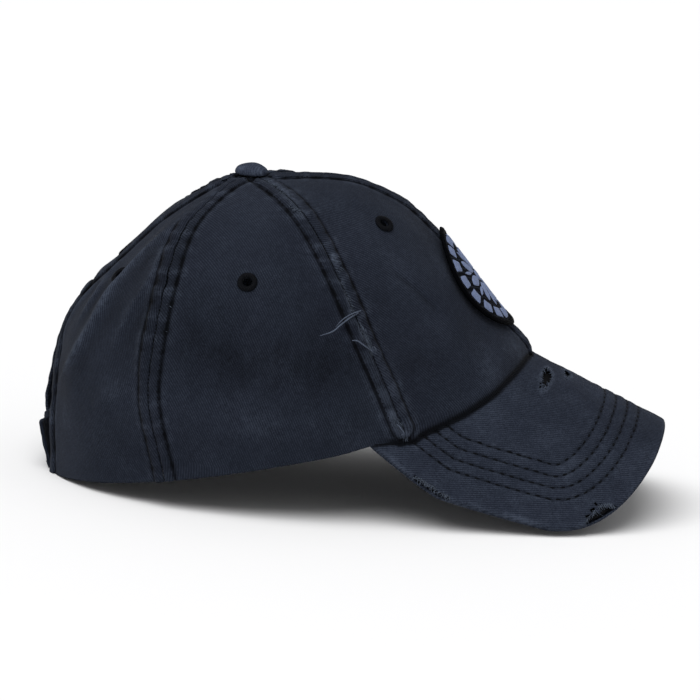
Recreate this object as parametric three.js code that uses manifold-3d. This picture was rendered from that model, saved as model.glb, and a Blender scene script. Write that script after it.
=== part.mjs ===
// A soft six-panel baseball cap with a ponytail slit in the back, standing on a table.
// Millimetres, +X towards the tip of the visor, +Y to the wearer's left, +Z up.

import * as THREE from "three";
import Module from "manifold-3d";
import { mergeVertices } from "three/addons/utils/BufferGeometryUtils.js";

const wasm = await Module();
wasm.setup();

// Driving sizes
const CROWN_LENGTH = 200; // rim, outside, front to back
const CROWN_WIDTH = 155; // rim, outside, side to side
const CROWN_HEIGHT = 128.2; // table to the cloth under the button
const BACK_LENGTH = 165; // along the cloth, button to rim
const FRONT_LENGTH = 149;
const CLOTH = 1.2; // thickness of the crown's twill
const CLEARANCE = 0.3; // gap between sewn pieces that touch
const INSIDE_GAP = 0.9; // gap between the cloth and what is sewn in behind it
const SEAM_BAND_WIDTH = 4.6; // folded seam allowance on each side of a seam
const SEAM_BAND_HEIGHT = 0.8; // how far the folded allowance stands proud
const SEAM_BAND_STEP = 0.6; // width of the step beside a seam band
const SEAM_BAND_SHARE = 0.3; // most of a panel's width that a band takes near the button
const FLAT_REST = 4; // length of rim that lies flat on the table at the back

const REST_CURVE = 1.05; // how slowly the rim leaves the table, 1 is a straight slope
const CORNER_DROP = 1.2; // how far the rim drops behind the end of the visor
const CORNER_STEP = 9; // length in which it drops

const VISOR_LENGTH = 64.5; // centre of the rim to the tip, along the visor
const VISOR_HALF_WIDTH = 73.5; // across the bent visor
const VISOR_CORNER_ANGLE = 69; // where the visor ends on the rim, from the front
const VISOR_CORNER_LAP = 1.6; // how far the visor stands out beside the rim at its corner
const VISOR_SLOPE = 23.3; // degrees that the visor points down
const VISOR_ARCH = 51.2; // radius of the visor's bend at its centre line
const VISOR_ROUNDNESS = 3.7; // exponent of the outline, 2 is an ellipse
const VISOR_SIDE_SWELL = 3.5; // how far the sides curve out between the corner and the front
const VISOR_SWELL_END = 18; // where the sides stop curving out, forward of the rim's centre
const VISOR_TUCK = 1.5; // how far the visor reaches in under the rim
const VISOR_CLOTH = 1.0;
const VISOR_BOARD = 1.3;
const VISOR_EDGE = 1.8; // covers beyond the edge of the board

const SLIT_LEVEL = 0.61; // share of the back's length at which the slit starts
const SLIT_HALF_WIDTH = 17; // half the gap at the rim
const STRAP_HEIGHT = 20;
const STRAP_THICKNESS = 1.8;
const STRAP_ROOT = 22; // degrees from the centre back to the sewn end of a strap
const STRAP_LAP = 8; // mm from the centre back to where the lower strap ends
const STRAP_TIP = 12; // mm from the centre back to the loose end of the upper strap
const STRAP_TIP_LIFT = 5;

const SWEATBAND_HEIGHT = 30;
const SWEATBAND_THICKNESS = 0.9;
const SWEATBAND_END = 26; // degrees from the centre back to the end of the band

const BUTTON_RADIUS = 6.9;
const BUTTON_HEIGHT = 4.6;
const BUTTON_STEM_RADIUS = 2.6;

const EYELET_RADIUS = 4.2;
const EYELET_BARREL_RADIUS = 2.1;
const EYELET_HOLE_RADIUS = 1.4;
const EYELET_HEIGHT = 0.9;

const PATCH_RADIUS = 25.5;
const PATCH_LEVEL = 0.735; // share of the front's length down to the patch's centre
const PATCH_THICKNESS = 1.1;
const PATCH_BORDER_WIDTH = 2.6;
const PATCH_BORDER_HEIGHT = 1.8;

// The crown's sections from the button (level 0) to the rim (level 1). X values are shares of
// half the crown's length, sideY of half its width. A rise is the share of the height
// between the rim and the button. The seams are in degrees from the front.
const SECTIONS = table(
  ["level", "frontX", "frontRise", "sideX", "sideY", "sideRise", "backX", "backRise", "backSeam"],
  [0.0, -0.23, 1.0, -0.23, 0.0, 1.0, -0.23, 1.0, 120],
  [0.08, -0.11, 1.015, -0.226, 0.151, 0.993, -0.355, 0.975, 124],
  [0.18, 0.037, 1.036, -0.222, 0.334, 0.959, -0.493, 0.902, 128],
  [0.3, 0.215, 1.026, -0.218, 0.533, 0.881, -0.642, 0.799, 128],
  [0.42, 0.381, 0.931, -0.212, 0.7, 0.77, -0.772, 0.683, 123],
  [0.54, 0.527, 0.773, -0.19, 0.828, 0.636, -0.905, 0.573, 120],
  [0.66, 0.65, 0.576, -0.15, 0.916, 0.486, -0.985, 0.437, 120],
  [0.78, 0.768, 0.369, -0.105, 0.97, 0.326, -1.005, 0.282, 122],
  [0.9, 0.888, 0.167, -0.05, 1.0, 0.16, -1.01, 0.128, 120.5],
  [1.0, 0.988, 0.0, 0.0, 1.0, 0.0, -1.0, 0.0, 119],
);
const FRONT_SEAM = 60; // degrees from the front

// Long soft folds that the tightened strap pulls into the back panels. Angles are degrees from
// the front, negative on the wearer's right. Widths and heights are millimetres.
const FOLDS = [
  { fromAngle: -140, fromLevel: 0.2, toAngle: -168, toLevel: 0.74, width: 4.5, height: 1.9 },
  { fromAngle: -133, fromLevel: 0.22, toAngle: -158, toLevel: 0.84, width: 5.0, height: 2.2 },
  { fromAngle: -128, fromLevel: 0.34, toAngle: -143, toLevel: 0.76, width: 5.0, height: 1.2 },
  { fromAngle: -124, fromLevel: 0.34, toAngle: -125, toLevel: 0.74, width: 4.5, height: 1.2 },
  { fromAngle: 138, fromLevel: 0.22, toAngle: 166, toLevel: 0.78, width: 5.0, height: 2.0 },
  { fromAngle: 131, fromLevel: 0.26, toAngle: 152, toLevel: 0.82, width: 5.5, height: 1.8 },
  { fromAngle: 126, fromLevel: 0.36, toAngle: 134, toLevel: 0.76, width: 5.0, height: 1.1 },
];

// Broad hollows (negative) and swells (positive) of the unstiffened cloth.
const SWELLS = [
  { angle: -92, level: 0.7, across: 26, along: 9, height: -2.4 },
  { angle: -70, level: 0.84, across: 20, along: 11, height: 1.4 },
  { angle: -112, level: 0.62, across: 12, along: 14, height: 1.2 },
  { angle: -40, level: 0.7, across: 13, along: 14, height: -1.2 },
  { angle: 88, level: 0.68, across: 24, along: 10, height: -2.0 },
  { angle: 66, level: 0.85, across: 20, along: 11, height: 1.3 },
  { angle: 112, level: 0.64, across: 12, along: 14, height: 1.0 },
  { angle: 38, level: 0.72, across: 13, along: 13, height: -1.0 },
  { angle: -168, level: 0.7, across: 8, along: 10, height: -1.8 },
  { angle: 171, level: 0.86, across: 13, along: 17, height: 4.2 },
];

// Worn-through places in the visor's top cloth. Across is a share of the visor's half width,
// forward a share of its length from the rim's centre, and half sizes go along the same ways.
const VISOR_TEARS = [
  { across: -0.246, forward: 0.141, halfAcross: 0.1, halfForward: 0.023 },
  { across: -0.046, forward: 0.271, halfAcross: 0.06, halfForward: 0.017 },
];

const DEGREE = Math.PI / 180;
const halfLength = CROWN_LENGTH / 2;
const halfWidth = CROWN_WIDTH / 2;
const UP = new THREE.Vector3(0, 0, 1);
const CLOCK = Array.from({ length: 12 }, (_, hour) => hour * 30); // directions round a point
const OUTLINE_STEPS = 180; // along half of the visor's outline, to find its lowest point

const COLOURS = {
  twill: { color: 0x2b3140, roughness: 0.95, metalness: 0 },
  thread: { color: 0x10131b, roughness: 0.8, metalness: 0 },
  board: { color: 0x0c0d10, roughness: 0.6, metalness: 0 },
  band: { color: 0x232835, roughness: 0.95, metalness: 0 },
  patch: { color: 0x14161d, roughness: 0.85, metalness: 0 },
};

// Rows of a table as objects with the named columns
function table(columns, ...rows) {
  return rows.map((row) => Object.fromEntries(columns.map((name, k) => [name, row[k]])));
}

// Interpolation through the rows of a table

function rowBefore(level) {
  let k = 0;
  while (k < SECTIONS.length - 2 && SECTIONS[k + 1].level < level) k += 1;
  return k;
}

// Cubic through values[k] and values[k + 1] at levels[k] and levels[k + 1].
function cubic(level, levels, values) {
  const span = levels[2] - levels[1];
  const s = (level - levels[1]) / span;
  const slopeIn = ((values[2] - values[0]) / (levels[2] - levels[0])) * span;
  const slopeOut = ((values[3] - values[1]) / (levels[3] - levels[1])) * span;
  const s2 = s * s;
  const s3 = s2 * s;
  return (
    values[1] * (2 * s3 - 3 * s2 + 1) +
    slopeIn * (s3 - 2 * s2 + s) +
    values[2] * (3 * s2 - 2 * s3) +
    slopeOut * (s3 - s2)
  );
}

// The bent visor

const slope = VISOR_SLOPE * DEGREE;
const visorForward = new THREE.Vector3(Math.cos(slope), 0, -Math.sin(slope));
const visorUp = new THREE.Vector3(Math.sin(slope), 0, Math.cos(slope));
const rimFrontX = SECTIONS.at(-1).frontX * halfLength;

function archDrop(y) {
  return (y * y) / (2 * VISOR_ARCH);
}

function visorNormal(y) {
  const steepness = y / VISOR_ARCH;
  return visorUp.clone().addScaledVector(new THREE.Vector3(0, 1, 0), steepness).normalize();
}

// Point of the visor at y across and reach forward, offset along the cloth's normal.
function visorPoint(y, reach, offset) {
  return new THREE.Vector3(rimFrontX, y, rimFrontZ)
    .addScaledVector(visorForward, reach)
    .addScaledVector(visorUp, -archDrop(y))
    .addScaledVector(visorNormal(y), offset);
}

// Height of the visor's top surface over a place in plan.
function visorTopZ(x, y) {
  return rimFrontZ + Math.tan(slope) * (rimFrontX - x) - archDrop(y) / Math.cos(slope);
}

// How far forward along the visor a place in plan lies.
function visorReach(x, y) {
  return (x - rimFrontX + archDrop(y) * Math.sin(slope)) / Math.cos(slope);
}

function rimPlan(angle, inset) {
  const c = Math.cos(angle * DEGREE);
  const s = Math.sin(angle * DEGREE);
  const long = c > 0 ? rimFrontX : -SECTIONS.at(-1).backX * halfLength;
  return { x: (long - inset) * c, y: (halfWidth - inset) * s };
}

const FRONT_SHARE = 0.72; // of the outline's steps that lie on the rounded front

function sideSwell(reach, cornerReach) {
  const share = (reach - cornerReach) / (VISOR_SWELL_END - cornerReach);
  return VISOR_SIDE_SWELL * Math.sin(Math.PI * THREE.MathUtils.clamp(share, 0, 1)) ** 2;
}

// Outline of the visor, from corner to corner as share goes from -1 to 1.
function visorOuter(share, inset) {
  const side = Math.sign(share) || 1;
  const along = Math.abs(share);
  const corner = rimPlan(VISOR_CORNER_ANGLE, -VISOR_CORNER_LAP);
  const cornerReach = visorReach(corner.x, corner.y);
  if (along <= FRONT_SHARE) {
    const turn = (along / FRONT_SHARE) * 90 * DEGREE;
    const power = 2 / VISOR_ROUNDNESS;
    const wide = (VISOR_HALF_WIDTH - inset) * Math.sin(turn) ** power;
    const reach = (VISOR_LENGTH - inset) * Math.max(Math.cos(turn), 0) ** power;
    return { y: side * (wide + sideSwell(reach, cornerReach)), reach };
  }
  const back = (along - FRONT_SHARE) / (1 - FRONT_SHARE);
  const wide = THREE.MathUtils.lerp(VISOR_HALF_WIDTH, corner.y, back) - inset;
  const reach = back * (cornerReach + inset);
  return { y: side * (wide + sideSwell(reach, cornerReach)), reach };
}

const visorThickness = 2 * VISOR_CLOTH + VISOR_BOARD + 2 * CLEARANCE;

// The rim's front stands as high as the visor's lowest edge needs to reach the table.
let rimFrontZ = 0;
rimFrontZ = -Math.min(
  ...Array.from({ length: OUTLINE_STEPS + 1 }, (_, k) => {
    const edge = visorOuter(k / OUTLINE_STEPS, 0);
    return visorPoint(edge.y, edge.reach, -visorThickness).z;
  }),
);

const visorCorner = rimPlan(VISOR_CORNER_ANGLE, 0);
const visorCornerZ = visorTopZ(visorCorner.x, visorCorner.y) + CLEARANCE;

// Height of the rim over a place in plan: on the visor in front, then down to the table.
function rimZ(x, y) {
  if (x >= visorCorner.x) return visorTopZ(x, y) + CLEARANCE;
  const flatEnd = SECTIONS.at(-1).backX * halfLength + FLAT_REST;
  const share = Math.max((x - flatEnd) / (visorCorner.x - flatEnd), 0);
  const passed = smooth((visorCorner.x - x) / CORNER_STEP);
  const lean = visorTopZ(visorCorner.x, y) + CLEARANCE - visorCornerZ;
  const height = (visorCornerZ - CORNER_DROP * passed) * share ** REST_CURVE;
  return Math.max(height + lean * (1 - passed), 0);
}

// The crown's cloth

function sectionPoint(row, angle) {
  const c = Math.cos(angle * DEGREE);
  const s = Math.sin(angle * DEGREE);
  const endX = c > 0 ? row.frontX : row.backX;
  const endRise = c > 0 ? row.frontRise : row.backRise;
  const rise = row.sideRise + (endRise - row.sideRise) * c * c;
  const rim = rimPlan(angle, 0);
  const foot = rimZ(rim.x, rim.y);
  return new THREE.Vector3(
    halfLength * row.sideX + halfLength * (endX - row.sideX) * Math.abs(c),
    halfWidth * row.sideY * s,
    foot + rise * (CROWN_HEIGHT - foot),
  );
}

function sectionsAround(level) {
  const k = rowBefore(level);
  return [SECTIONS[k - 1], SECTIONS[k], SECTIONS[k + 1], SECTIONS[k + 2]];
}

function crownBase(angle, level) {
  const [before, here, next, after] = sectionsAround(level);
  const points = [
    before ? sectionPoint(before, angle) : sectionPoint(SECTIONS[1], angle + 180),
    sectionPoint(here, angle),
    sectionPoint(next, angle),
    after ? sectionPoint(after, angle) : null,
  ];
  const levels = [
    before ? before.level : -SECTIONS[1].level,
    here.level,
    next.level,
    after ? after.level : 2 * next.level - here.level,
  ];
  points[3] = points[3] || points[2].clone().multiplyScalar(2).sub(points[1]);
  return new THREE.Vector3(
    cubic(level, levels, points.map((p) => p.x)),
    cubic(level, levels, points.map((p) => p.y)),
    cubic(level, levels, points.map((p) => p.z)),
  );
}

function normalOf(surface, angle, level) {
  const step = 0.4;
  const levelStep = 0.004;
  const across = surface(angle + step, level).sub(surface(angle - step, level));
  const high = Math.min(level + levelStep, 1);
  const down = surface(angle, high).sub(surface(angle, high - 2 * levelStep));
  return down.cross(across).normalize();
}

function smooth(value) {
  const s = THREE.MathUtils.clamp(value, 0, 1);
  return s * s * (3 - 2 * s);
}

const FOLD_FADE = 0.1; // share of the crown's length over which a fold dies out

function wrap(angle) {
  return ((((angle + 180) % 360) + 360) % 360) - 180;
}

// How far the folds and swells move the cloth out from its plain form.
function relief(angle, level) {
  const around = Math.max(crownBase(90, level).y, 10) * DEGREE;
  let height = 0;
  for (const fold of FOLDS) {
    const share = (level - fold.fromLevel) / (fold.toLevel - fold.fromLevel);
    const centre = THREE.MathUtils.lerp(fold.fromAngle, fold.toAngle, share);
    const across = (wrap(angle - centre) * around) / fold.width;
    const fade =
      smooth((level - fold.fromLevel) / FOLD_FADE) * smooth((fold.toLevel - level) / FOLD_FADE);
    height += fold.height * fade * Math.exp(-across * across);
  }
  for (const swell of SWELLS) {
    const across = (wrap(angle - swell.angle) * around) / swell.across;
    const along = ((level - swell.level) * BACK_LENGTH) / swell.along;
    height += swell.height * Math.exp(-across * across - along * along);
  }
  return height;
}

function crownCloth(angle, level) {
  return crownBase(angle, level).addScaledVector(
    normalOf(crownBase, angle, level),
    relief(angle, level),
  );
}

// A point of the cloth moved out along its normal. At the rim it moves level, and stays on
// the surface that carries the rim.
function clothPoint(angle, level, out) {
  const at = crownCloth(angle, level);
  const normal = normalOf(crownCloth, angle, Math.min(level, 1));
  if (level < 1) return at.addScaledVector(normal, out);
  const flat = new THREE.Vector3(normal.x, normal.y, 0).normalize();
  at.addScaledVector(flat, out);
  at.z = rimZ(at.x, at.y);
  return at;
}

// Degrees that make a step of this many millimetres around the crown.
function degreesFor(mm, angle, level) {
  return mm / crownCloth(angle + 0.5, level).distanceTo(crownCloth(angle - 0.5, level));
}

function backSeamAngle(level) {
  const [before, here, next, after] = sectionsAround(level);
  const first = before || { level: -1, backSeam: here.backSeam };
  const last = after || { level: 2, backSeam: next.backSeam };
  const rows = [first, here, next, last];
  return cubic(level, rows.map((row) => row.level), rows.map((row) => row.backSeam));
}

function slitHalfWidth(level) {
  const open = Math.max((level - SLIT_LEVEL) / (1 - SLIT_LEVEL), 0);
  return CLEARANCE / 2 + SLIT_HALF_WIDTH * Math.sin(open * 90 * DEGREE);
}

// Closed solids from two grids of points

function solidFromGrids(outer, inner, skipped) {
  const places = [];
  const index = new Map();
  const idOf = (p) => {
    const key = [p.x, p.y, p.z].map((v) => Math.round(v * 5000)).join();
    if (!index.has(key)) {
      index.set(key, places.length);
      places.push(p);
    }
    return index.get(key);
  };
  const outerIds = outer.map((row) => row.map(idOf));
  const innerIds = inner.map((row) => row.map(idOf));
  const faces = [];
  const edges = new Map();
  const addFace = (a, b, c, list) => {
    if (a !== b && b !== c && c !== a) list.push([a, b, c]);
  };
  const sheet = (ids, flip) => {
    const list = [];
    for (let i = 0; i + 1 < ids.length; i += 1) {
      for (let j = 0; j + 1 < ids[i].length; j += 1) {
        if (skipped && skipped(i, j)) continue;
        const [a, b, c, d] = [ids[i][j], ids[i][j + 1], ids[i + 1][j + 1], ids[i + 1][j]];
        addFace(a, flip ? c : b, flip ? b : c, list);
        addFace(a, flip ? d : c, flip ? c : d, list);
      }
    }
    return list;
  };
  const twin = new Map();
  outerIds.forEach((row, i) => row.forEach((id, j) => twin.set(id, innerIds[i][j])));
  const top = sheet(outerIds, false);
  for (const [a, b, c] of top) {
    for (const [p, q] of [[a, b], [b, c], [c, a]]) {
      const back = `${q},${p}`;
      if (edges.has(back)) edges.delete(back);
      else edges.set(`${p},${q}`, [p, q]);
    }
  }
  faces.push(...top, ...sheet(innerIds, true));
  for (const [p, q] of edges.values()) {
    const [r, s] = [twin.get(p), twin.get(q)];
    const across = places[q].distanceTo(places[r]) < places[p].distanceTo(places[s]);
    addFace(q, p, across ? r : s, faces);
    addFace(across ? q : p, r, s, faces);
  }
  return solidFromFaces(places, faces);
}

function solidFromFaces(places, faces) {
  let volume = 0;
  for (const [a, b, c] of faces) {
    volume += places[a].dot(places[b].clone().cross(places[c]));
  }
  const turned = volume < 0 ? faces.map(([a, b, c]) => [a, c, b]) : faces;
  const geometry = new THREE.BufferGeometry();
  const positions = places.flatMap((p) => [p.x, p.y, p.z]);
  geometry.setAttribute("position", new THREE.Float32BufferAttribute(positions, 3));
  geometry.setIndex(turned.flat());
  return geometry;
}

function cut(geometry, cutters) {
  let solid = toManifold(geometry);
  for (const cutter of cutters) solid = solid.subtract(toManifold(cutter));
  return fromManifold(solid);
}

function toManifold(geometry) {
  const plain = geometry.clone();
  for (const name of ["normal", "uv"]) plain.deleteAttribute(name);
  const merged = mergeVertices(plain, 1e-4);
  return new wasm.Manifold(
    new wasm.Mesh({
      numProp: 3,
      vertProperties: new Float32Array(merged.attributes.position.array),
      triVerts: new Uint32Array(merged.index.array),
    }),
  );
}

function fromManifold(solid) {
  const mesh = solid.getMesh();
  const geometry = new THREE.BufferGeometry();
  geometry.setAttribute("position", new THREE.BufferAttribute(mesh.vertProperties, 3));
  geometry.setIndex(new THREE.BufferAttribute(mesh.triVerts, 1));
  return geometry;
}

function evenly(from, to, steps) {
  return Array.from({ length: steps + 1 }, (_, k) => THREE.MathUtils.lerp(from, to, k / steps));
}

const cap = new THREE.Group();

function addPiece(name, geometry, finish) {
  geometry.computeVertexNormals();
  const mesh = new THREE.Mesh(geometry, new THREE.MeshStandardMaterial(COLOURS[finish]));
  mesh.name = name;
  cap.add(mesh);
  return mesh;
}

// Crown panels

const APEX_LEVEL = 0.035; // where the panels end under the button
const EYELET_CELL = EYELET_BARREL_RADIUS + CLEARANCE + 0.1; // half the hole's width
const UPPER_LEVELS = [APEX_LEVEL, 0.08, 0.14, 0.21, 0.28, 0.35];
const LOWER_STEPS = 6;

const PANELS = [
  { name: "front", columns: 3, eyeletLevel: 0.447, edges: [() => 0, () => FRONT_SEAM] },
  { name: "side", columns: 4, eyeletLevel: 0.495, edges: [() => FRONT_SEAM, backSeamAngle] },
  { name: "back", columns: 5, eyeletLevel: 0.447, edges: [backSeamAngle, () => 180] },
];

// Every panel has the same rows, so that its neighbour's edge follows its own.
const holeLevels = [...new Set(PANELS.map((panel) => panel.eyeletLevel))].flatMap((level) => [
  level - EYELET_CELL / BACK_LENGTH,
  level + EYELET_CELL / BACK_LENGTH,
]);
const PANEL_LEVELS = [...UPPER_LEVELS, ...holeLevels, ...evenly(0.56, 0.97, LOWER_STEPS), 1];

function panelAngles(panel, side, level) {
  const [first, last] = panel.edges.map((edge) => edge(level));
  const halfGap = CLEARANCE / 2;
  const lastGap = panel.name === "back" ? slitHalfWidth(level) : halfGap;
  const from = first + degreesFor(halfGap, side * first, level);
  const to = last - degreesFor(lastGap, side * last, level);
  const middle = (from + to) / 2;
  const width = (to - from) / degreesFor(1, side * middle, level);
  return { from, to, width };
}

// Columns of a panel as shares of its width, and how far each stands proud.
function panelColumns(panel, side, level) {
  const { from, to, width } = panelAngles(panel, side, level);
  const band = Math.min(SEAM_BAND_WIDTH / width, SEAM_BAND_SHARE);
  const step = Math.min(SEAM_BAND_STEP / width, 0.1 * SEAM_BAND_SHARE);
  const eyeletWidth = panelAngles(panel, side, panel.eyeletLevel).width;
  const cell = EYELET_CELL / eyeletWidth;
  const left = [0, band / 2, band, band + step];
  const inside = evenly(band + step, 0.5 - cell, panel.columns).slice(1);
  const half = [...left, ...inside];
  const shares = [...half, ...half.map((share) => 1 - share).reverse()];
  const proud = shares.map((share) => {
    const fromEdge = Math.min(share, 1 - share);
    return fromEdge <= band + 1e-9 ? SEAM_BAND_HEIGHT : 0;
  });
  return shares.map((share, k) => ({
    angle: side * THREE.MathUtils.lerp(from, to, share),
    proud: proud[k],
  }));
}

function panelSolid(panel, side) {
  const levels = PANEL_LEVELS;
  const grid = levels.map((level) => panelColumns(panel, side, level));
  const outer = grid.map((row, i) => row.map((c) => clothPoint(c.angle, levels[i], c.proud)));
  const inner = grid.map((row, i) => row.map((c) => clothPoint(c.angle, levels[i], -CLOTH)));
  const holeRow = levels.findIndex((level) => level > panel.eyeletLevel) - 1;
  const holeColumn = grid[0].length / 2 - 1;
  return solidFromGrids(outer, inner, (i, j) => i === holeRow && j === holeColumn);
}

// Eyelets and button

// Frame on the cloth, with +Z out of it.
function frameOnCloth(angle, level) {
  const normal = normalOf(crownCloth, angle, level);
  return {
    origin: crownCloth(angle, level),
    turn: new THREE.Quaternion().setFromUnitVectors(UP, normal),
    normal,
  };
}

// How high the cloth, or its seam bands, stands above a frame at a radius from its middle.
function heightAround(frame, radius, angle, level, proud) {
  let highest = -Infinity;
  for (const turn of CLOCK) {
    const levelStep = (radius / BACK_LENGTH) * Math.cos(turn * DEGREE);
    const angleStep = degreesFor(radius * Math.sin(turn * DEGREE), angle, level);
    const point = clothPoint(angle + angleStep, level + levelStep, proud);
    highest = Math.max(highest, point.sub(frame.origin).dot(frame.normal));
  }
  return highest;
}

function latheAlongZ(profile, segments) {
  const points = profile.map(([radius, height]) => new THREE.Vector2(radius, height));
  const geometry = new THREE.LatheGeometry(points, segments);
  geometry.rotateX(90 * DEGREE);
  const plain = geometry.clone();
  for (const name of ["normal", "uv"]) plain.deleteAttribute(name);
  const merged = mergeVertices(plain, 1e-4);
  const places = [];
  const source = merged.attributes.position;
  for (let k = 0; k < source.count; k += 1) {
    places.push(new THREE.Vector3().fromBufferAttribute(source, k));
  }
  const faces = [];
  for (let k = 0; k < merged.index.count; k += 3) {
    const face = [0, 1, 2].map((corner) => merged.index.getX(k + corner));
    if (new Set(face).size === 3) faces.push(face);
  }
  return solidFromFaces(places, faces);
}

function addEyelet(panel, side, name) {
  const { from, to } = panelAngles(panel, side, panel.eyeletLevel);
  const angle = (side * (from + to)) / 2;
  const frame = frameOnCloth(angle, panel.eyeletLevel);
  const seat =
    Math.max(heightAround(frame, EYELET_RADIUS, angle, panel.eyeletLevel, 0), 0) + CLEARANCE;
  const profile = [
    [EYELET_HOLE_RADIUS, -CLOTH],
    [EYELET_BARREL_RADIUS, -CLOTH],
    [EYELET_BARREL_RADIUS, seat],
    [EYELET_RADIUS, seat],
    [EYELET_RADIUS - 0.4, seat + 0.7 * EYELET_HEIGHT],
    [(EYELET_RADIUS + EYELET_HOLE_RADIUS) / 2, seat + EYELET_HEIGHT],
    [EYELET_HOLE_RADIUS, seat + 0.6 * EYELET_HEIGHT],
    [EYELET_HOLE_RADIUS, -CLOTH],
  ];
  const eyelet = addPiece(name, latheAlongZ(profile, 10), "thread");
  eyelet.position.copy(frame.origin);
  eyelet.quaternion.copy(frame.turn);
}

function addButton() {
  const level = APEX_LEVEL;
  const ring = CLOCK.map((angle) => clothPoint(angle, level, SEAM_BAND_HEIGHT));
  const sum = ring.reduce((total, p) => total.add(p), new THREE.Vector3());
  const centre = sum.divideScalar(ring.length);
  const forward = ring[0].clone().sub(ring[6]);
  const left = ring[3].clone().sub(ring[9]);
  const normal = forward.cross(left).normalize();
  const height = (p) => p.clone().sub(centre).dot(normal);
  const seat = Math.max(...ring.map(height)) + CLEARANCE;
  const wallDepth = CLOTH + SEAM_BAND_HEIGHT + 2 * CLEARANCE;
  const outline = [
    [0, seat - wallDepth],
    [BUTTON_STEM_RADIUS, seat - wallDepth],
    [BUTTON_STEM_RADIUS, seat],
    [0.62 * BUTTON_RADIUS, seat],
    [BUTTON_RADIUS, seat - 0.15 * BUTTON_HEIGHT + 0.3],
  ];
  const dome = evenly(0, 90, 5).map((turn) => [
    BUTTON_RADIUS * Math.cos(turn * DEGREE),
    seat + 0.3 + (BUTTON_HEIGHT - 0.3) * Math.sin(turn * DEGREE),
  ]);
  dome[dome.length - 1][0] = 0;
  const button = addPiece("button", latheAlongZ([...outline, ...dome], 16), "twill");
  button.position.copy(centre);
  button.quaternion.setFromUnitVectors(UP, normal);
}

// Visor

const VISOR_COLUMNS = 26;
const VISOR_ROWS = 5;

function visorGrid(inset, offsetAt) {
  const shares = evenly(-1, 1, VISOR_COLUMNS);
  const rows = [...evenly(0, 1, VISOR_ROWS)];
  return rows.map((row, i) =>
    shares.map((share) => {
      const inner = rimPlan(share * VISOR_CORNER_ANGLE, VISOR_TUCK);
      const innerReach = visorReach(inner.x, inner.y);
      const outer = visorOuter(share, inset);
      const y = THREE.MathUtils.lerp(inner.y, outer.y, row);
      const reach = THREE.MathUtils.lerp(innerReach, outer.reach, row);
      return visorPoint(y, reach, offsetAt(i, rows.length - 1));
    }),
  );
}

function visorLayer(inset, top, bottom, topLip, bottomLip) {
  const lipped = (plain, lip) => (i, last) => (i === last ? lip : plain);
  const body = (plain, lip) => {
    const grid = visorGrid(VISOR_EDGE, () => plain);
    if (inset < VISOR_EDGE) grid.push(visorGrid(inset, lipped(plain, lip)).at(-1));
    return grid;
  };
  return solidFromGrids(body(top, topLip), body(bottom, bottomLip));
}

const TEAR_SIDES = 10;

function visorTearCutter(tear) {
  const at = (across, forward, offset) =>
    visorPoint(across * VISOR_HALF_WIDTH, forward * VISOR_LENGTH, offset);
  const ring = (offset) =>
    evenly(0, 360, TEAR_SIDES).map((turn) =>
      at(
        tear.across + tear.halfAcross * Math.cos(turn * DEGREE),
        tear.forward + tear.halfForward * Math.sin(turn * DEGREE),
        offset,
      ),
    );
  const fan = (offset) => [
    ring(offset),
    ring(offset).map(() => at(tear.across, tear.forward, offset)),
  ];
  return solidFromGrids(fan(visorThickness), fan(-visorThickness));
}

function addVisor() {
  const middle = -visorThickness / 2;
  const boardTop = -VISOR_CLOTH - CLEARANCE;
  const boardBottom = boardTop - VISOR_BOARD;
  const underTop = boardBottom - CLEARANCE;
  const topCloth = visorLayer(0, 0, -VISOR_CLOTH, -0.4, middle + CLEARANCE / 2);
  addPiece("visor_top_cloth", cut(topCloth, VISOR_TEARS.map(visorTearCutter)), "twill");
  addPiece("visor_board", visorLayer(VISOR_EDGE, boardTop, boardBottom), "board");
  const underEdge = -visorThickness + 0.4;
  addPiece(
    "visor_under_cloth",
    visorLayer(0, underTop, -visorThickness, middle - CLEARANCE / 2, underEdge),
    "twill",
  );
}

// Back strap, sweatband and patch

function ribbon(angles, levels, outer, inner) {
  const grid = (offsetAt) =>
    levels.map((level) => angles.map((angle, k) => clothPoint(angle, level, offsetAt(k, level))));
  return solidFromGrids(grid(outer), grid(inner));
}

function backAngle(y) {
  return 180 - Math.asin(y / halfWidth) / DEGREE;
}

function addStraps() {
  const levels = evenly(1 - STRAP_HEIGHT / BACK_LENGTH, 1, 3);
  const under = -CLOTH - INSIDE_GAP;
  const lowerAngles = evenly(backAngle(-STRAP_LAP), 180 + STRAP_ROOT, 8);
  addPiece(
    "strap_lower",
    ribbon(lowerAngles, levels, () => under, () => under - STRAP_THICKNESS),
    "twill",
  );
  const upperAngles = evenly(180 - STRAP_ROOT, backAngle(STRAP_TIP) * -1 + 360, 12);
  const climbEnd = backAngle(STRAP_LAP - 4);
  const climbStart = backAngle(SLIT_HALF_WIDTH - 1);
  const lift = (k, level) => {
    const angle = upperAngles[k];
    const climb = smooth((angle - climbStart) / (climbEnd - climbStart));
    const toTip = smooth((angle - 180) / (upperAngles.at(-1) - 180));
    const upper = (1 - level) / (1 - levels[0]);
    return climb * (STRAP_THICKNESS + CLEARANCE) + toTip * STRAP_TIP_LIFT * (0.15 + 0.85 * upper);
  };
  addPiece(
    "strap_upper",
    ribbon(
      upperAngles,
      levels,
      (k, level) => under + lift(k, level),
      (k, level) => under + lift(k, level) - STRAP_THICKNESS,
    ),
    "twill",
  );
}

function addSweatband() {
  const angles = evenly(-180 + SWEATBAND_END, 180 - SWEATBAND_END, 40);
  const levels = evenly(1 - SWEATBAND_HEIGHT / BACK_LENGTH, 0.975, 2);
  const outside = -CLOTH - INSIDE_GAP;
  addPiece(
    "sweatband",
    ribbon(angles, levels, () => outside, () => outside - SWEATBAND_THICKNESS),
    "band",
  );
}

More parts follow.
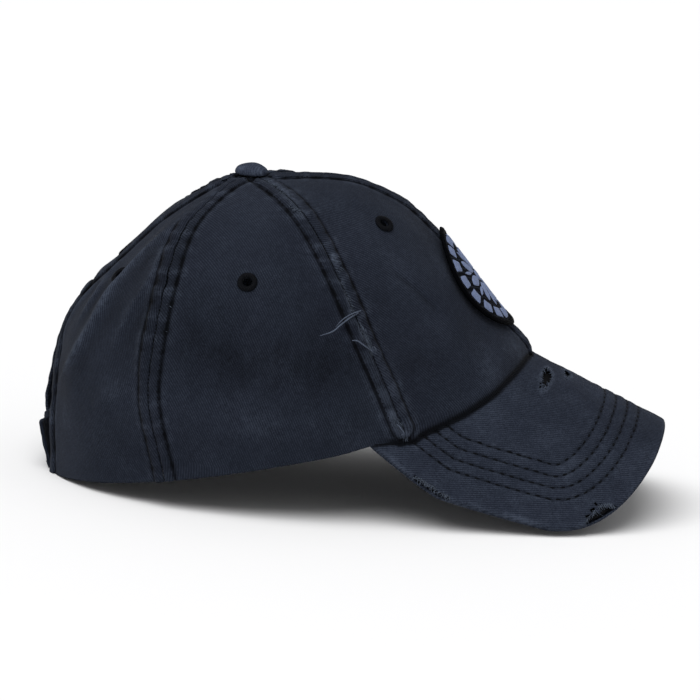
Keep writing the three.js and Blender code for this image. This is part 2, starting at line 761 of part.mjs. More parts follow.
// Point of the crown's front at distances across and up from the patch's centre.
function patchPoint(across, up, out) {
  const level = PATCH_LEVEL - up / FRONT_LENGTH;
  let low = -60;
  let high = 60;
  for (let k = 0; k < 30; k += 1) {
    const middle = (low + high) / 2;
    if (crownCloth(middle, level).y < across) low = middle;
    else high = middle;
  }
  return clothPoint((low + high) / 2, level, out);
}

function addPatch() {
  const turns = evenly(0, 360, 26);
  const base = SEAM_BAND_HEIGHT + CLEARANCE;
  const disc = (radii, out) =>
    radii.map((radius, i) =>
      turns.map((turn) =>
        patchPoint(radius * Math.cos(turn * DEGREE), radius * Math.sin(turn * DEGREE), out(i)),
      ),
    );
  const groundRadius = PATCH_RADIUS - PATCH_BORDER_WIDTH - CLEARANCE;
  const groundRadii = [0, 0.35, 0.7, 1].map((share) => share * groundRadius);
  const ground = solidFromGrids(
    disc(groundRadii, () => base + PATCH_THICKNESS),
    disc(groundRadii, () => base),
  );
  addPiece("patch_ground", ground, "patch");
  const borderShares = [0, 0.25, 0.75, 1];
  const borderHeights = [0.6, 1, 1, 0.45].map((share) => share * PATCH_BORDER_HEIGHT);
  const borderRadii = borderShares.map(
    (share) => PATCH_RADIUS - PATCH_BORDER_WIDTH * (1 - share),
  );
  const border = solidFromGrids(
    disc(borderRadii, (i) => base + borderHeights[i]),
    disc(borderRadii, () => base),
  );
  addPiece("patch_border", border, "thread");
}

for (const [side, hand] of [[-1, "right"], [1, "left"]]) {
  for (const panel of PANELS) {
    addPiece(`panel_${panel.name}_${hand}`, panelSolid(panel, side), "twill");
    addEyelet(panel, side, `eyelet_${panel.name}_${hand}`);
  }
}
addButton();
addVisor();
addStraps();
addSweatband();
addPatch();

// The origin is under the middle of the cap, on the table.
const bounds = new THREE.Box3().setFromObject(cap);
const middle = bounds.getCenter(new THREE.Vector3());
cap.position.set(-middle.x, -middle.y, -bounds.min.z);

export default cap;
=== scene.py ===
"""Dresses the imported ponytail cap: washed twill, seams and stitches, a round patch, worn places and stray threads."""

import math

import bpy
import numpy as np
from bpy.props import FloatProperty, FloatVectorProperty, IntProperty, PointerProperty
from mathutils import Matrix, Vector, geometry
from mathutils.bvhtree import BVHTree
from mathutils.kdtree import KDTree


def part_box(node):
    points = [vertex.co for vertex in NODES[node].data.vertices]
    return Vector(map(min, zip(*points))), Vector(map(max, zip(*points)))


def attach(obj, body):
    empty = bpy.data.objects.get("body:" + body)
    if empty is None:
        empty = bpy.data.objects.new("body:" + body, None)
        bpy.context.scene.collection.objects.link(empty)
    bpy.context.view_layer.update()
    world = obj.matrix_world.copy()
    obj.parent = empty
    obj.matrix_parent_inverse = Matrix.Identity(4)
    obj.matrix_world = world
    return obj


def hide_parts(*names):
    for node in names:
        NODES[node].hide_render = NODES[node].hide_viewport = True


bl_info = {
    "name": "Ponytail Cap Finish",
    "version": (1, 0, 0),
    "blender": (4, 5, 0),
    "location": "3D View > Sidebar > Cap",
    "description": "Finishes the packed ponytail cap with washed twill, stitching, a patch and wear",
    "category": "Object",
}

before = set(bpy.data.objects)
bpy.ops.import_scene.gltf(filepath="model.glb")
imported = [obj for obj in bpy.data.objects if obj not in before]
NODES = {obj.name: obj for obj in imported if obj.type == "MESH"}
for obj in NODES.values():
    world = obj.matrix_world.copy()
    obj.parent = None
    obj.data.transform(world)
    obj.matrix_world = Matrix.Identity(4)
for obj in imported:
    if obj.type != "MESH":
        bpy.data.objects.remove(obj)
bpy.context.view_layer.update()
MM = 0.001


def box_middle(node):
    low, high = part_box(node)
    return (low + high) / 2


BUTTON_PLACE = box_middle("button")
PANELS = ("front_right", "side_right", "back_right", "front_left", "side_left", "back_left")
SEAMS = (
    ("front_right", "front_left"),
    ("front_right", "side_right"),
    ("side_right", "back_right"),
    ("front_left", "side_left"),
    ("side_left", "back_left"),
    ("back_right", "back_left"),
)


# Sizes and colours that a user may change


def length(name, description, default):
    return FloatProperty(name=name, description=description, default=default, min=0.0, unit="LENGTH")


def colour(name, description, default):
    return FloatVectorProperty(
        name=name, description=description, default=default, subtype="COLOR", size=3, min=0.0, max=1.0
    )


class CapColours(bpy.types.PropertyGroup):
    dyed: colour("Dyed twill", "Colour of the washed crown and visor cloth", (0.0136, 0.0172, 0.0275))
    # The faded colour also takes the painted highlights that the pieces mark on the cloth.
    faded: colour("Faded twill", "Colour where the dye has worn off", (0.075, 0.092, 0.130))
    # The deep colour also serves the painted shade in seam grooves, creases, the visor join and the listed shaded
    # places.
    deep: colour("Deep twill", "Colour in the grooves of the seams", (0.0022, 0.0027, 0.0042))
    thread: colour("Stitching", "Colour of the topstitching and eyelets", (0.0016, 0.0021, 0.0040))
    fray: colour("Frayed fibres", "Colour of the loose fibres and threads", (0.075, 0.092, 0.125))
    band: colour("Sweatband", "Colour of the band inside the rim", (0.010, 0.013, 0.020))
    board: colour("Visor board", "Colour of the stiff board in the visor", (0.0025, 0.0025, 0.003))
    patch_ground: colour("Patch ground", "Colour of the twill of the patch", (0.0012, 0.0016, 0.0030))
    loose: colour("Loose threads", "Colour of the long pulled threads", (0.100, 0.122, 0.170))
    patch_border: colour("Patch border", "Colour of the raised border of the patch", (0.0004, 0.0006, 0.0014))
    patch_motif: colour("Patch motifs", "Colour of the embroidery on the patch", (0.200, 0.255, 0.430))
    floor: colour("Floor", "Colour of the table that the cap stands on", (0.93, 0.93, 0.935))


class CapSewing(bpy.types.PropertyGroup):
    cloth: length("Cloth", "Thickness of the crown's twill", 1.2 * MM)
    topstitch: length("Topstitch distance", "From a seam to the stitch row beside it", 5.0 * MM)
    stitch_pitch: length("Stitch pitch", "From one topstitch to the next", 2.2 * MM)
    stitch_length: length("Stitch length", "Length of a topstitch", 1.85 * MM)
    stitch_width: length("Stitch width", "Width of a topstitch", 0.7 * MM)
    tape_width: length("Tape width", "Width of the tape over a seam inside the crown", 13.0 * MM)
    pucker_length: length("Pucker length", "Length of the ripples along a seam", 6.6 * MM)
    pucker_height: length("Pucker height", "Height of the ripples along a seam", 0.34 * MM)
    groove_depth: length("Groove depth", "How far a stitch row pulls the cloth in", 0.5 * MM)
    twill_pitch: length("Twill pitch", "Width of one diagonal rib of the twill", 0.92 * MM)
    twill_angle: FloatProperty(
        name="Twill angle",
        description="Angle of the twill's ribs from the horizontal",
        default=math.radians(63),
        subtype="ANGLE",
    )


class CapVisor(bpy.types.PropertyGroup):
    slope: FloatProperty(
        name="Slope",
        description="Angle that the visor points down",
        default=math.radians(23.3),
        subtype="ANGLE",
    )
    bend: length("Bend radius", "Radius of the visor's bend at its centre line", 51.2 * MM)
    rim_length: length("Rim half length", "Rim's centre to its front", 98.8 * MM)
    rim_width: length("Rim half width", "Rim's centre to its side", 77.5 * MM)
    button_set_back: length("Button set back", "From the button back to the rim's centre", 23.0 * MM)
    thickness: length("Thickness", "Both cloths and the board between them", 3.9 * MM)
    rows: IntProperty(name="Stitch rows", description="Rows of stitching", default=4, min=1, max=8)
    first_row: length("First row", "From the visor's edge to the outermost stitch row", 11.2 * MM)
    row_pitch: length("Row pitch", "From one stitch row to the next", 5.3 * MM)
    stitch_pitch: length("Stitch pitch", "From one visor stitch to the next", 4.4 * MM)
    stitch_length: length("Stitch length", "Length of a visor stitch", 3.6 * MM)


class CapPatch(bpy.types.PropertyGroup):
    radius: length("Radius", "Outer radius of the patch", 25.5 * MM)
    border: length("Border width", "Width of the raised border", 2.6 * MM)
    border_height: length("Border height", "How far the border stands proud of the ground", 0.85 * MM)
    petals: IntProperty(name="Petals", description="Petals of the flower", default=8, min=3, max=16)
    motif_height: length("Motif height", "How far the embroidery stands proud", 0.55 * MM)


class CapStage(bpy.types.PropertyGroup):
    distance: length("Camera distance", "From the camera to the middle of the picture", 2.5)
    field: length("Field", "Width of the picture at the cap", 0.294)
    height: FloatProperty(
        name="Camera height",
        description="Angle of the camera above the table",
        default=math.radians(12),
        subtype="ANGLE",
    )
    tilt: FloatProperty(
        name="Camera tilt",
        description="Turn of the camera about its view",
        default=math.radians(4.15),
        subtype="ANGLE",
    )
    aim: FloatVectorProperty(
        name="Aim",
        description="Middle of the picture",
        default=(-0.0033, 0.0, 0.0573),
        size=3,
        subtype="TRANSLATION",
        unit="LENGTH",
    )


def settings():
    """Where the property groups are kept."""
    return bpy.context.scene


# Meshes as arrays of points


def points_of(piece):
    flat = np.empty(len(piece.data.vertices) * 3)
    piece.data.vertices.foreach_get("co", flat)
    return flat.reshape(-1, 3)


def normals_of(piece):
    flat = np.empty(len(piece.data.vertices) * 3)
    piece.data.vertices.foreach_get("normal", flat)
    return flat.reshape(-1, 3)


def place_points(piece, points):
    piece.data.vertices.foreach_set("co", np.asarray(points, dtype=np.float64).ravel())
    piece.data.update()


def note_on(piece, name, values):
    """Keeps one number per point, for the material to read."""
    layer = piece.data.attributes.get(name) or piece.data.attributes.new(name, "FLOAT", "POINT")
    layer.data.foreach_set("value", np.clip(values, 0, 1).astype(np.float32))


def map_weave(piece, across, along):
    """Gives each point its place in the flat cloth, in metres."""
    layer = piece.data.uv_layers.new(name="weave")
    corners = np.empty(len(piece.data.loops), dtype=np.int32)
    piece.data.loops.foreach_get("vertex_index", corners)
    layer.data.foreach_set("uv", np.stack([across, along], axis=1)[corners].astype(np.float32).ravel())


def deselect_all():
    if bpy.context.object and bpy.context.object.mode != "OBJECT":
        bpy.ops.object.mode_set(mode="OBJECT")
    bpy.ops.object.select_all(action="DESELECT")


def work_on(piece):
    deselect_all()
    piece.select_set(True)
    bpy.context.view_layer.objects.active = piece


def apply_modifier(piece, kind, **values):
    work_on(piece)
    modifier = piece.modifiers.new(kind.title(), kind)
    for key, value in values.items():
        setattr(modifier, key, value)
    bpy.ops.object.modifier_apply(modifier=modifier.name)


def subdivide(piece, levels):
    apply_modifier(piece, "SUBSURF", levels=levels, render_levels=levels, boundary_smooth="PRESERVE_CORNERS")


def thicken(piece, thickness, offset=-1.0):
    apply_modifier(piece, "SOLIDIFY", thickness=thickness, offset=offset, use_even_offset=False)


def delete_faces(piece, chosen):
    """Deletes the faces that the mask chooses."""
    work_on(piece)
    bpy.ops.object.mode_set(mode="EDIT")
    bpy.ops.mesh.select_mode(type="FACE")
    bpy.ops.mesh.select_all(action="DESELECT")
    bpy.ops.object.mode_set(mode="OBJECT")
    piece.data.polygons.foreach_set("select", np.asarray(chosen, dtype=bool))
    bpy.ops.object.mode_set(mode="EDIT")
    bpy.ops.mesh.delete(type="FACE")
    bpy.ops.object.mode_set(mode="OBJECT")


def face_middles(piece):
    flat = np.empty(len(piece.data.polygons) * 3)
    piece.data.polygons.foreach_get("center", flat)
    return flat.reshape(-1, 3)


def face_areas(piece):
    areas = np.empty(len(piece.data.polygons))
    piece.data.polygons.foreach_get("area", areas)
    return areas


def face_normals(piece):
    flat = np.empty(len(piece.data.polygons) * 3)
    piece.data.polygons.foreach_get("normal", flat)
    return flat.reshape(-1, 3)


def merged_copy(node, name):
    """A copy of a CAD node with its loose triangles joined into quads."""
    piece = bpy.data.objects.new(name, NODES[node].data.copy())
    piece.data.name = name
    piece.data.materials.clear()
    bpy.context.scene.collection.objects.link(piece)
    work_on(piece)
    bpy.ops.object.mode_set(mode="EDIT")
    bpy.ops.mesh.select_all(action="SELECT")
    bpy.ops.mesh.remove_doubles(threshold=0.01 * MM)
    bpy.ops.mesh.tris_convert_to_quads(face_threshold=math.radians(80), shape_threshold=math.radians(80))
    bpy.ops.object.mode_set(mode="OBJECT")
    return piece


def take_primitive(name):
    """Names the primitive that was just added."""
    piece = bpy.context.object
    piece.name = name
    piece.data.name = name
    return piece


def grid_piece(name, columns, rows):
    """A grid primitive, with the column and row share of each point."""
    deselect_all()
    bpy.ops.mesh.primitive_grid_add(x_subdivisions=columns, y_subdivisions=rows, size=1)
    piece = take_primitive(name)
    flat = points_of(piece)
    return piece, flat[:, 0] + 0.5, flat[:, 1] + 0.5


def finish_piece(piece, material, slot, *nodes):
    piece.data.materials.clear()
    piece.data.materials.append(material)
    piece.data.shade_smooth()
    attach(piece, "root")
    if nodes:
        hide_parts(*nodes)
    return piece


def copies_of(master, name, origins, along, out):
    """One mesh of many copies of a small master, each with its length along one way and its top out."""
    shape = points_of(master)
    side = np.cross(out, along)
    points = (
        origins[:, None]
        + shape[None, :, 0, None] * along[:, None]
        + shape[None, :, 1, None] * side[:, None]
        + shape[None, :, 2, None] * out[:, None]
    )
    faces = [tuple(polygon.vertices) for polygon in master.data.polygons]
    count = len(shape)
    every = [tuple(corner + k * count for corner in face) for k in range(len(origins)) for face in faces]
    mesh = bpy.data.meshes.new(name)
    mesh.from_pydata(points.reshape(-1, 3).tolist(), [], every)
    piece = bpy.data.objects.new(name, mesh)
    bpy.context.scene.collection.objects.link(piece)
    return piece


def unit(vectors):
    return vectors / np.maximum(np.linalg.norm(vectors, axis=-1, keepdims=True), 1e-12)


def smooth_step(values, start, end):
    share = np.clip((values - start) / (end - start), 0, 1)
    return share * share * (3 - 2 * share)


def hump(values, middle, width):
    return np.exp(-(((values - middle) / width) ** 2))


def waves(points, size, seed, count=8):
    """Smooth random waves of about the given size, mostly between -1 and 1."""
    points = np.atleast_2d(points)
    random = np.random.default_rng(seed)
    ways = unit(random.normal(size=(count, points.shape[1])))
    sizes = size * random.uniform(0.7, 1.5, count)
    starts = random.uniform(0, 2 * math.pi, count)
    phases = points @ (ways / sizes[:, None]).T * 2 * math.pi + starts
    return np.sin(phases).sum(axis=1) / math.sqrt(count)


def line_lengths(line):
    steps = np.linalg.norm(np.diff(line, axis=0), axis=1)
    return np.concatenate([[0], np.cumsum(steps)])


def resample(line, places):
    """Points of a line at the given lengths along it."""
    lengths = line_lengths(line)
    return np.stack([np.interp(places, lengths, line[:, k]) for k in range(line.shape[1])], axis=1)


def rounded_line(line, step):
    """A smooth curve through the points of a coarse line."""
    padded = np.vstack([2 * line[0] - line[1], line, 2 * line[-1] - line[-2]])
    parts = []
    for before, start, end, after in zip(padded, padded[1:], padded[2:], padded[3:]):
        share = np.linspace(0, 1, 9)[:-1, None]
        parts.append(
            0.5
            * (
                2 * start
                + (end - before) * share
                + (2 * before - 5 * start + 4 * end - after) * share**2
                + (3 * start - before - 3 * end + after) * share**3
            )
        )
    fine = np.vstack(parts + [line[-1:]])
    total = line_lengths(fine)[-1]
    return resample(fine, np.linspace(0, total, max(int(total / step), 2) + 1))


def along_and_from(points, line):
    """For each point, the length along a line to its nearest place and the distance to it."""
    start, step = line[:-1], np.diff(line, axis=0)
    size = np.maximum((step**2).sum(axis=1), 1e-18)
    lengths = line_lengths(line)
    along = np.empty(len(points))
    away = np.empty(len(points))
    for first in range(0, len(points), 4000):
        part = points[first : first + 4000, None]
        share = np.clip(((part - start) * step).sum(axis=2) / size, 0, 1)
        distance = np.linalg.norm(part - start - share[..., None] * step, axis=2)
        nearest = distance.argmin(axis=1)
        row = np.arange(len(nearest))
        along[first : first + 4000] = lengths[nearest] + share[row, nearest] * np.sqrt(size[nearest])
        away[first : first + 4000] = distance[row, nearest]
    return along, away


def tree_of(*pieces):
    """A search tree over the faces of some pieces."""
    points, faces = [], []
    for piece in pieces:
        first = len(points)
        points.extend(vertex.co.copy() for vertex in piece.data.vertices)
        faces.extend(tuple(first + corner for corner in polygon.vertices) for polygon in piece.data.polygons)
    return BVHTree.FromPolygons(points, faces)


def outward_ways(line):
    """Ways out of the crown along a line on it, square to the line."""
    core = np.tile(CROWN_CORE, (len(line), 1))
    core[:, 2] = np.minimum(line[:, 2], CROWN_CORE[2])
    out = unit(line - core)
    along = unit(np.gradient(line, axis=0))
    return unit(out - along * (out * along).sum(axis=1, keepdims=True))


def settle(tree, points):
    """Nearest places on a surface, with its normals."""
    places = [tree.find_nearest(Vector(point)) for point in points]
    return np.array([place[0] for place in places]), np.array([place[1] for place in places])


# Shader node groups and materials


def add_node(tree, kind, inputs=None, **values):
    node = tree.nodes.new(kind)
    for key, value in values.items():
        setattr(node, key, value)
    for key, source in (inputs or {}).items():
        if isinstance(source, bpy.types.NodeSocket):
            tree.links.new(source, node.inputs[key])
        else:
            node.inputs[key].default_value = source
    return node


def math_node(tree, operation, first, second=0.0, clamp=False):
    return add_node(tree, "ShaderNodeMath", {0: first, 1: second}, operation=operation, use_clamp=clamp).outputs[0]


def mix_colours(tree, share, first, second, blend="MIX"):
    node = add_node(
        tree, "ShaderNodeMix", {"Factor": share, 6: first, 7: second}, data_type="RGBA", blend_type=blend
    )
    return node.outputs[2]


def noise_node(tree, place, scale, detail=2.0):
    node = add_node(tree, "ShaderNodeTexNoise", {"Vector": place, "Scale": scale, "Detail": detail})
    return node.outputs["Fac"]


def spread(tree, value, low, high, start=0.0, end=1.0):
    return add_node(tree, "ShaderNodeMapRange", {0: value, 1: low, 2: high, 3: start, 4: end}).outputs[0]


def group_sockets(name, inputs, outputs):
    """An empty node group with its sockets, and its input and output nodes."""
    tree = bpy.data.node_groups.new(name, "ShaderNodeTree")
    for label, kind, default in inputs:
        socket = tree.interface.new_socket(label, in_out="INPUT", socket_type=kind)
        if default is not None:
            socket.default_value = default
    for label, kind in outputs:
        tree.interface.new_socket(label, in_out="OUTPUT", socket_type=kind)
    return tree, tree.nodes.new("NodeGroupInput").outputs, tree.nodes.new("NodeGroupOutput").inputs


def diagonal_ribs_group():
    """Ribs of a twill: the ribs' height and how much of the face yarn shows."""
    tree, given, result = group_sockets(
        "Diagonal Ribs",
        [
            ("Place", "NodeSocketVector", None),
            ("Across", "NodeSocketVector", (0.866, -0.5, 0.0)),
            ("Pitch", "NodeSocketFloat", 0.00105),
        ],
        [("Height", "NodeSocketFloat"), ("Rib", "NodeSocketFloat")],
    )
    wander = spread(tree, noise_node(tree, given["Place"], 260.0), 0.0, 1.0, -0.9, 0.9)
    across = add_node(
        tree, "ShaderNodeVectorMath", {0: given["Place"], 1: given["Across"]}, operation="DOT_PRODUCT"
    ).outputs["Value"]
    turns = math_node(tree, "MULTIPLY", math_node(tree, "DIVIDE", across, given["Pitch"]), 2 * math.pi)
    ribs = math_node(tree, "SINE", math_node(tree, "ADD", turns, wander))
    rib = spread(tree, ribs, -1.0, 1.0)
    yarn = noise_node(tree, given["Place"], 1500.0, 3.0)
    height = math_node(tree, "ADD", math_node(tree, "MULTIPLY", rib, 0.7), math_node(tree, "MULTIPLY", yarn, 0.6))
    tree.links.new(height, result["Height"])
    tree.links.new(rib, result["Rib"])
    return tree


def washed_dye_group():
    """Dyed cloth with worn places, painted highlights, painted shade and the cloudy patches that washing leaves."""
    colours = [
        (label, "NodeSocketColor", (0.5, 0.5, 0.5, 1.0)) for label in ("Dyed", "Faded", "Deep")
    ]
    tree, given, result = group_sockets(
        "Washed Dye",
        [("Place", "NodeSocketVector", None)]
        + colours
        + [(label, "NodeSocketFloat", 0.0) for label in ("Wear and highlight", "Shade", "Rib", "Clouds")],
        [("Colour", "NodeSocketColor"), ("Roughness", "NodeSocketFloat")],
    )
    broad = spread(tree, noise_node(tree, given["Place"], 32.0, 3.0), 0.3, 0.7, -1.0, 1.0)
    fine = spread(tree, noise_node(tree, given["Place"], 420.0, 3.0), 0.25, 0.75, -1.0, 1.0)
    speck = spread(tree, noise_node(tree, given["Place"], 1900.0, 2.0), 0.3, 0.7, -1.0, 1.0)
    cloud = math_node(tree, "ADD", math_node(tree, "MULTIPLY", broad, 0.45), math_node(tree, "MULTIPLY", fine, 0.35))
    cloud = math_node(tree, "ADD", cloud, math_node(tree, "MULTIPLY", speck, 0.75))
    cloud = math_node(tree, "MULTIPLY", cloud, given["Clouds"])
    wear_and_highlight = math_node(tree, "MULTIPLY", given["Wear and highlight"], spread(tree, fine, -1.0, 1.0, 0.55, 1.25))
    rib = math_node(tree, "MULTIPLY", math_node(tree, "SUBTRACT", given["Rib"], 0.5), 0.25)
    light = math_node(tree, "ADD", math_node(tree, "ADD", wear_and_highlight, cloud), rib, clamp=True)
    # dark: darker dye clouds and ribs, and the painted shade from the Shade input
    dark = math_node(tree, "SUBTRACT", math_node(tree, "MULTIPLY", cloud, -1.6), rib, clamp=True)
    dark = math_node(tree, "ADD", dark, given["Shade"], clamp=True)
    faded = mix_colours(tree, light, given["Dyed"], given["Faded"])
    tree.links.new(mix_colours(tree, dark, faded, given["Deep"]), result["Colour"])
    tree.links.new(spread(tree, light, 0.0, 1.0, 0.86, 0.97), result["Roughness"])
    return tree


def thread_twist_group():
    """The twist of a sewing thread along one way of a place."""
    tree, given, result = group_sockets(
        "Thread Twist",
        [("Place", "NodeSocketVector", None), ("Pitch", "NodeSocketFloat", 0.0005)],
        [("Height", "NodeSocketFloat"), ("Light", "NodeSocketFloat")],
    )
    slant = add_node(
        tree, "ShaderNodeVectorMath", {0: given["Place"], 1: (0.8, 0.6, 0.35)}, operation="DOT_PRODUCT"
    ).outputs["Value"]
    turns = math_node(tree, "MULTIPLY", math_node(tree, "DIVIDE", slant, given["Pitch"]), 2 * math.pi)
    twist = spread(tree, math_node(tree, "SINE", turns), -1.0, 1.0)
    tree.links.new(twist, result["Height"])
    uneven = noise_node(tree, given["Place"], 700.0)
    tree.links.new(math_node(tree, "MULTIPLY", twist, uneven), result["Light"])
    return tree


def use_group(tree, name, inputs):
    node = add_node(tree, "ShaderNodeGroup", node_tree=bpy.data.node_groups[name])
    for key, source in inputs.items():
        if isinstance(source, bpy.types.NodeSocket):
            tree.links.new(source, node.inputs[key])
        else:
            node.inputs[key].default_value = source
    return node.outputs


def rgba(value):
    return (*value, 1.0)


def new_material(name):
    material = bpy.data.materials.new(name)
    material.use_nodes = True
    return material, material.node_tree, material.node_tree.nodes["Principled BSDF"]


def add_bump(tree, shader, height, distance, strength=1.0):
    bump = add_node(tree, "ShaderNodeBump", {"Height": height, "Distance": distance, "Strength": strength})
    tree.links.new(bump.outputs["Normal"], shader.inputs["Normal"])


def twill_material(name, dyed, clouds, ribs=True, sheen=0.02):
    """Washed twill. It reads the worn places with their painted highlights, the painted shade and the place in the flat
    cloth from the piece.
    """
    colours = settings().cap_colours
    sewing = settings().cap_sewing
    material, tree, shader = new_material(name)
    place = add_node(tree, "ShaderNodeTexCoord").outputs["Object"]
    weave = add_node(tree, "ShaderNodeUVMap", uv_map="weave").outputs["UV"] if ribs else place
    angle = sewing.twill_angle
    rib = use_group(
        tree,
        "Diagonal Ribs",
        {"Place": weave, "Across": (math.sin(angle), -math.cos(angle), 0.3), "Pitch": sewing.twill_pitch},
    )
    dye = use_group(
        tree,
        "Washed Dye",
        {
            "Place": place,
            "Dyed": rgba(dyed),
            "Faded": rgba(colours.faded),
            "Deep": rgba(colours.deep),
            "Wear and highlight": add_node(tree, "ShaderNodeAttribute", attribute_name="wear_and_highlight").outputs["Fac"],
            "Shade": add_node(tree, "ShaderNodeAttribute", attribute_name="shade").outputs["Fac"],
            "Rib": rib["Rib"],
            "Clouds": clouds,
        },
    )
    tree.links.new(dye["Colour"], shader.inputs["Base Color"])
    tree.links.new(dye["Roughness"], shader.inputs["Roughness"])
    add_bump(tree, shader, rib["Height"], 0.24 * MM)
    shader.inputs["Sheen Weight"].default_value = sheen
    shader.inputs["Sheen Roughness"].default_value = 0.4
    shader.inputs["Specular IOR Level"].default_value = 0.05
    return material


def thread_material(name, tint, pitch, glow=0.5, roughness=0.62, shine=0.08, on_piece=False):
    """Twisted or satin-stitched thread. On a piece with its own map the twist follows the piece."""
    material, tree, shader = new_material(name)
    place = add_node(tree, "ShaderNodeTexCoord").outputs["Object"]
    if on_piece:
        place = add_node(tree, "ShaderNodeUVMap", uv_map="weave").outputs["UV"]
    twist = use_group(tree, "Thread Twist", {"Place": place, "Pitch": pitch})
    light = tuple(min(part * (1 + glow), 1.0) for part in tint)
    dark = tuple(part * 0.6 for part in tint)
    tree.links.new(mix_colours(tree, twist["Light"], rgba(dark), rgba(light)), shader.inputs["Base Color"])
    uneven = noise_node(tree, place, 900.0)
    tree.links.new(
        spread(tree, uneven, 0.0, 1.0, roughness - 0.1, roughness + 0.15), shader.inputs["Roughness"]
    )
    add_bump(tree, shader, twist["Height"], 0.12 * MM)
    shader.inputs["Specular IOR Level"].default_value = shine
    return material


def board_material(colours):
    """Black pressed board with a fine grain."""
    material, tree, shader = new_material("Visor Board")
    place = add_node(tree, "ShaderNodeTexCoord").outputs["Object"]
    grain = noise_node(tree, place, 1200.0, 4.0)
    light = tuple(part * 2.2 for part in colours.board)
    tree.links.new(mix_colours(tree, grain, rgba(colours.board), rgba(light)), shader.inputs["Base Color"])
    tree.links.new(spread(tree, grain, 0.0, 1.0, 0.55, 0.8), shader.inputs["Roughness"])
    add_bump(tree, shader, grain, 0.1 * MM)
    shader.inputs["Specular IOR Level"].default_value = 0.05
    return material


class CAP_OT_materials(bpy.types.Operator):
    """Makes the shader groups and the cap's materials"""

    bl_idname = "cap.materials"
    bl_label = "Materials"

    def execute(self, context):
        colours = context.scene.cap_colours
        diagonal_ribs_group()
        washed_dye_group()
        thread_twist_group()
        twill_material("Crown Twill", colours.dyed, 0.16)
        twill_material("Visor Twill", tuple(part * 1.25 for part in colours.dyed), 0.2)
        twill_material("Worn Button Twill", tuple(part * 1.9 for part in colours.dyed), 0.3, ribs=False)
        twill_material("Strap Twill", colours.dyed, 0.14, ribs=False)
        twill_material("Sweatband Twill", colours.band, 0.1, ribs=False)
        twill_material("Patch Twill", colours.patch_ground, 0.03, ribs=False, sheen=0.0)
        thread_material("Topstitch Thread", colours.thread, 0.7 * MM)
        thread_material("Border Thread", colours.patch_border, 0.9 * MM, glow=0.8, shine=0.02)
        thread_material("Motif Thread", colours.patch_motif, 0.5 * MM, glow=0.45, shine=0.3, on_piece=True)
        thread_material("Frayed Fibre", colours.fray, 0.9 * MM, glow=0.6, roughness=0.85)
        thread_material("Loose Thread", colours.loose, 0.6 * MM, glow=0.5, roughness=0.85)
        thread_material("Seam Thread", tuple(part * 0.9 for part in colours.dyed), 0.6 * MM, glow=1.6)
        NODES["visor_board"].material_slots[0].material = board_material(colours)
        return {"FINISHED"}


# The crown's cloth

CROWN_CORE = np.array([-0.037, 0.0, 0.06])  # inside the crown, to tell its outside from its inside
FOLDS = (
    # name, points of the crest, half width, height, and how much the crest is lightened: worn dye, and on the crisp
    # folds and the swells also painted highlight
    (
        "outer back fold",
        ((-100, -7, 91), (-106, -13, 84), (-109, -25, 80), (-112, -27, 75), (-117, -26, 64)),
        2.2, 1.5, 0.40,
    ),
    (
        "long back fold",
        (
            (-74, -25, 115), (-79, -29, 111), (-85, -30, 105), (-94, -30, 95), (-101, -32, 87), (-108, -37, 75),
            (-112, -37, 66), (-119, -32, 51), (-124, -18, 34),
        ),
        2.8, 2.1, 0.46,
    ),
    (
        "slit fold",
        ((-106, -11, 84), (-111, -11, 80), (-119, -12, 68), (-122, -11, 62), (-124, -9, 52)),
        2.0, 1.3, 0.30,
    ),
    (
        "side back fold",
        ((-78, -33, 109), (-82, -39, 101), (-88, -47, 88), (-92, -49, 82), (-96, -50, 74), (-101, -50, 60)),
        3.2, 1.5, 0.30,
    ),
    ("seam side swell", ((-86, -58, 80), (-88, -59, 70), (-89, -60, 61), (-89, -62, 52)), 2.4, 0.8, 0.18),
    ("low back swell", ((-90, -60, 50), (-99, -54, 44), (-108, -46, 36)), 4.0, 0.9, 0.10),
    (
        "outer far fold",
        ((-100, 9, 91), (-106, 14, 84), (-110, 24, 79), (-113, 27, 73), (-118, 26, 62)),
        2.2, 1.3, 0.38,
    ),
    (
        "long far fold",
        (
            (-76, 26, 113), (-86, 31, 104), (-95, 31, 94), (-104, 35, 82), (-112, 37, 66), (-119, 32, 50),
            (-124, 19, 34),
        ),
        2.8, 1.9, 0.42,
    ),
    ("side far fold", ((-79, 34, 108), (-84, 41, 98), (-90, 48, 86), (-96, 50, 73), (-100, 50, 60)), 3.2, 1.3, 0.26),
    ("front crease", ((11, -43, 102), (17, -41, 97), (24, -40, 92), (33, -39, 83)), 1.5, -0.55, 0.0),
    ("far front crease", ((14, 44, 99), (22, 42, 93), (31, 39, 84)), 1.5, -0.5, 0.0),
    ("side dent", ((-68, -69, 51), (-47, -74, 53), (-27, -75, 55), (-4, -72, 59)), 9.5, -2.2, 0.0),
    ("far side dent", ((-66, 70, 55), (-46, 73, 57), (-26, 74, 57), (-6, 72, 61)), 9.0, -1.8, 0.0),
    ("side swell", ((-52, -76, 40), (-34, -77, 38), (-14, -76, 38), (2, -74, 40)), 8.0, 0.9, 0.10),
    (
        "front swell",
        (
            (26, -62, 44), (38, -57, 47), (49, -48, 50), (57, -34, 60), (63, -19, 66), (66, 0, 68), (63, 19, 66),
            (57, 34, 60), (49, 48, 50), (38, 57, 47),
        ),
        7.0, 1.3, 0.13,
    ),
    ("upper side crease", ((-64, -48, 98), (-55, -62, 84), (-47, -67, 75)), 3.2, -0.4, 0.0),
)
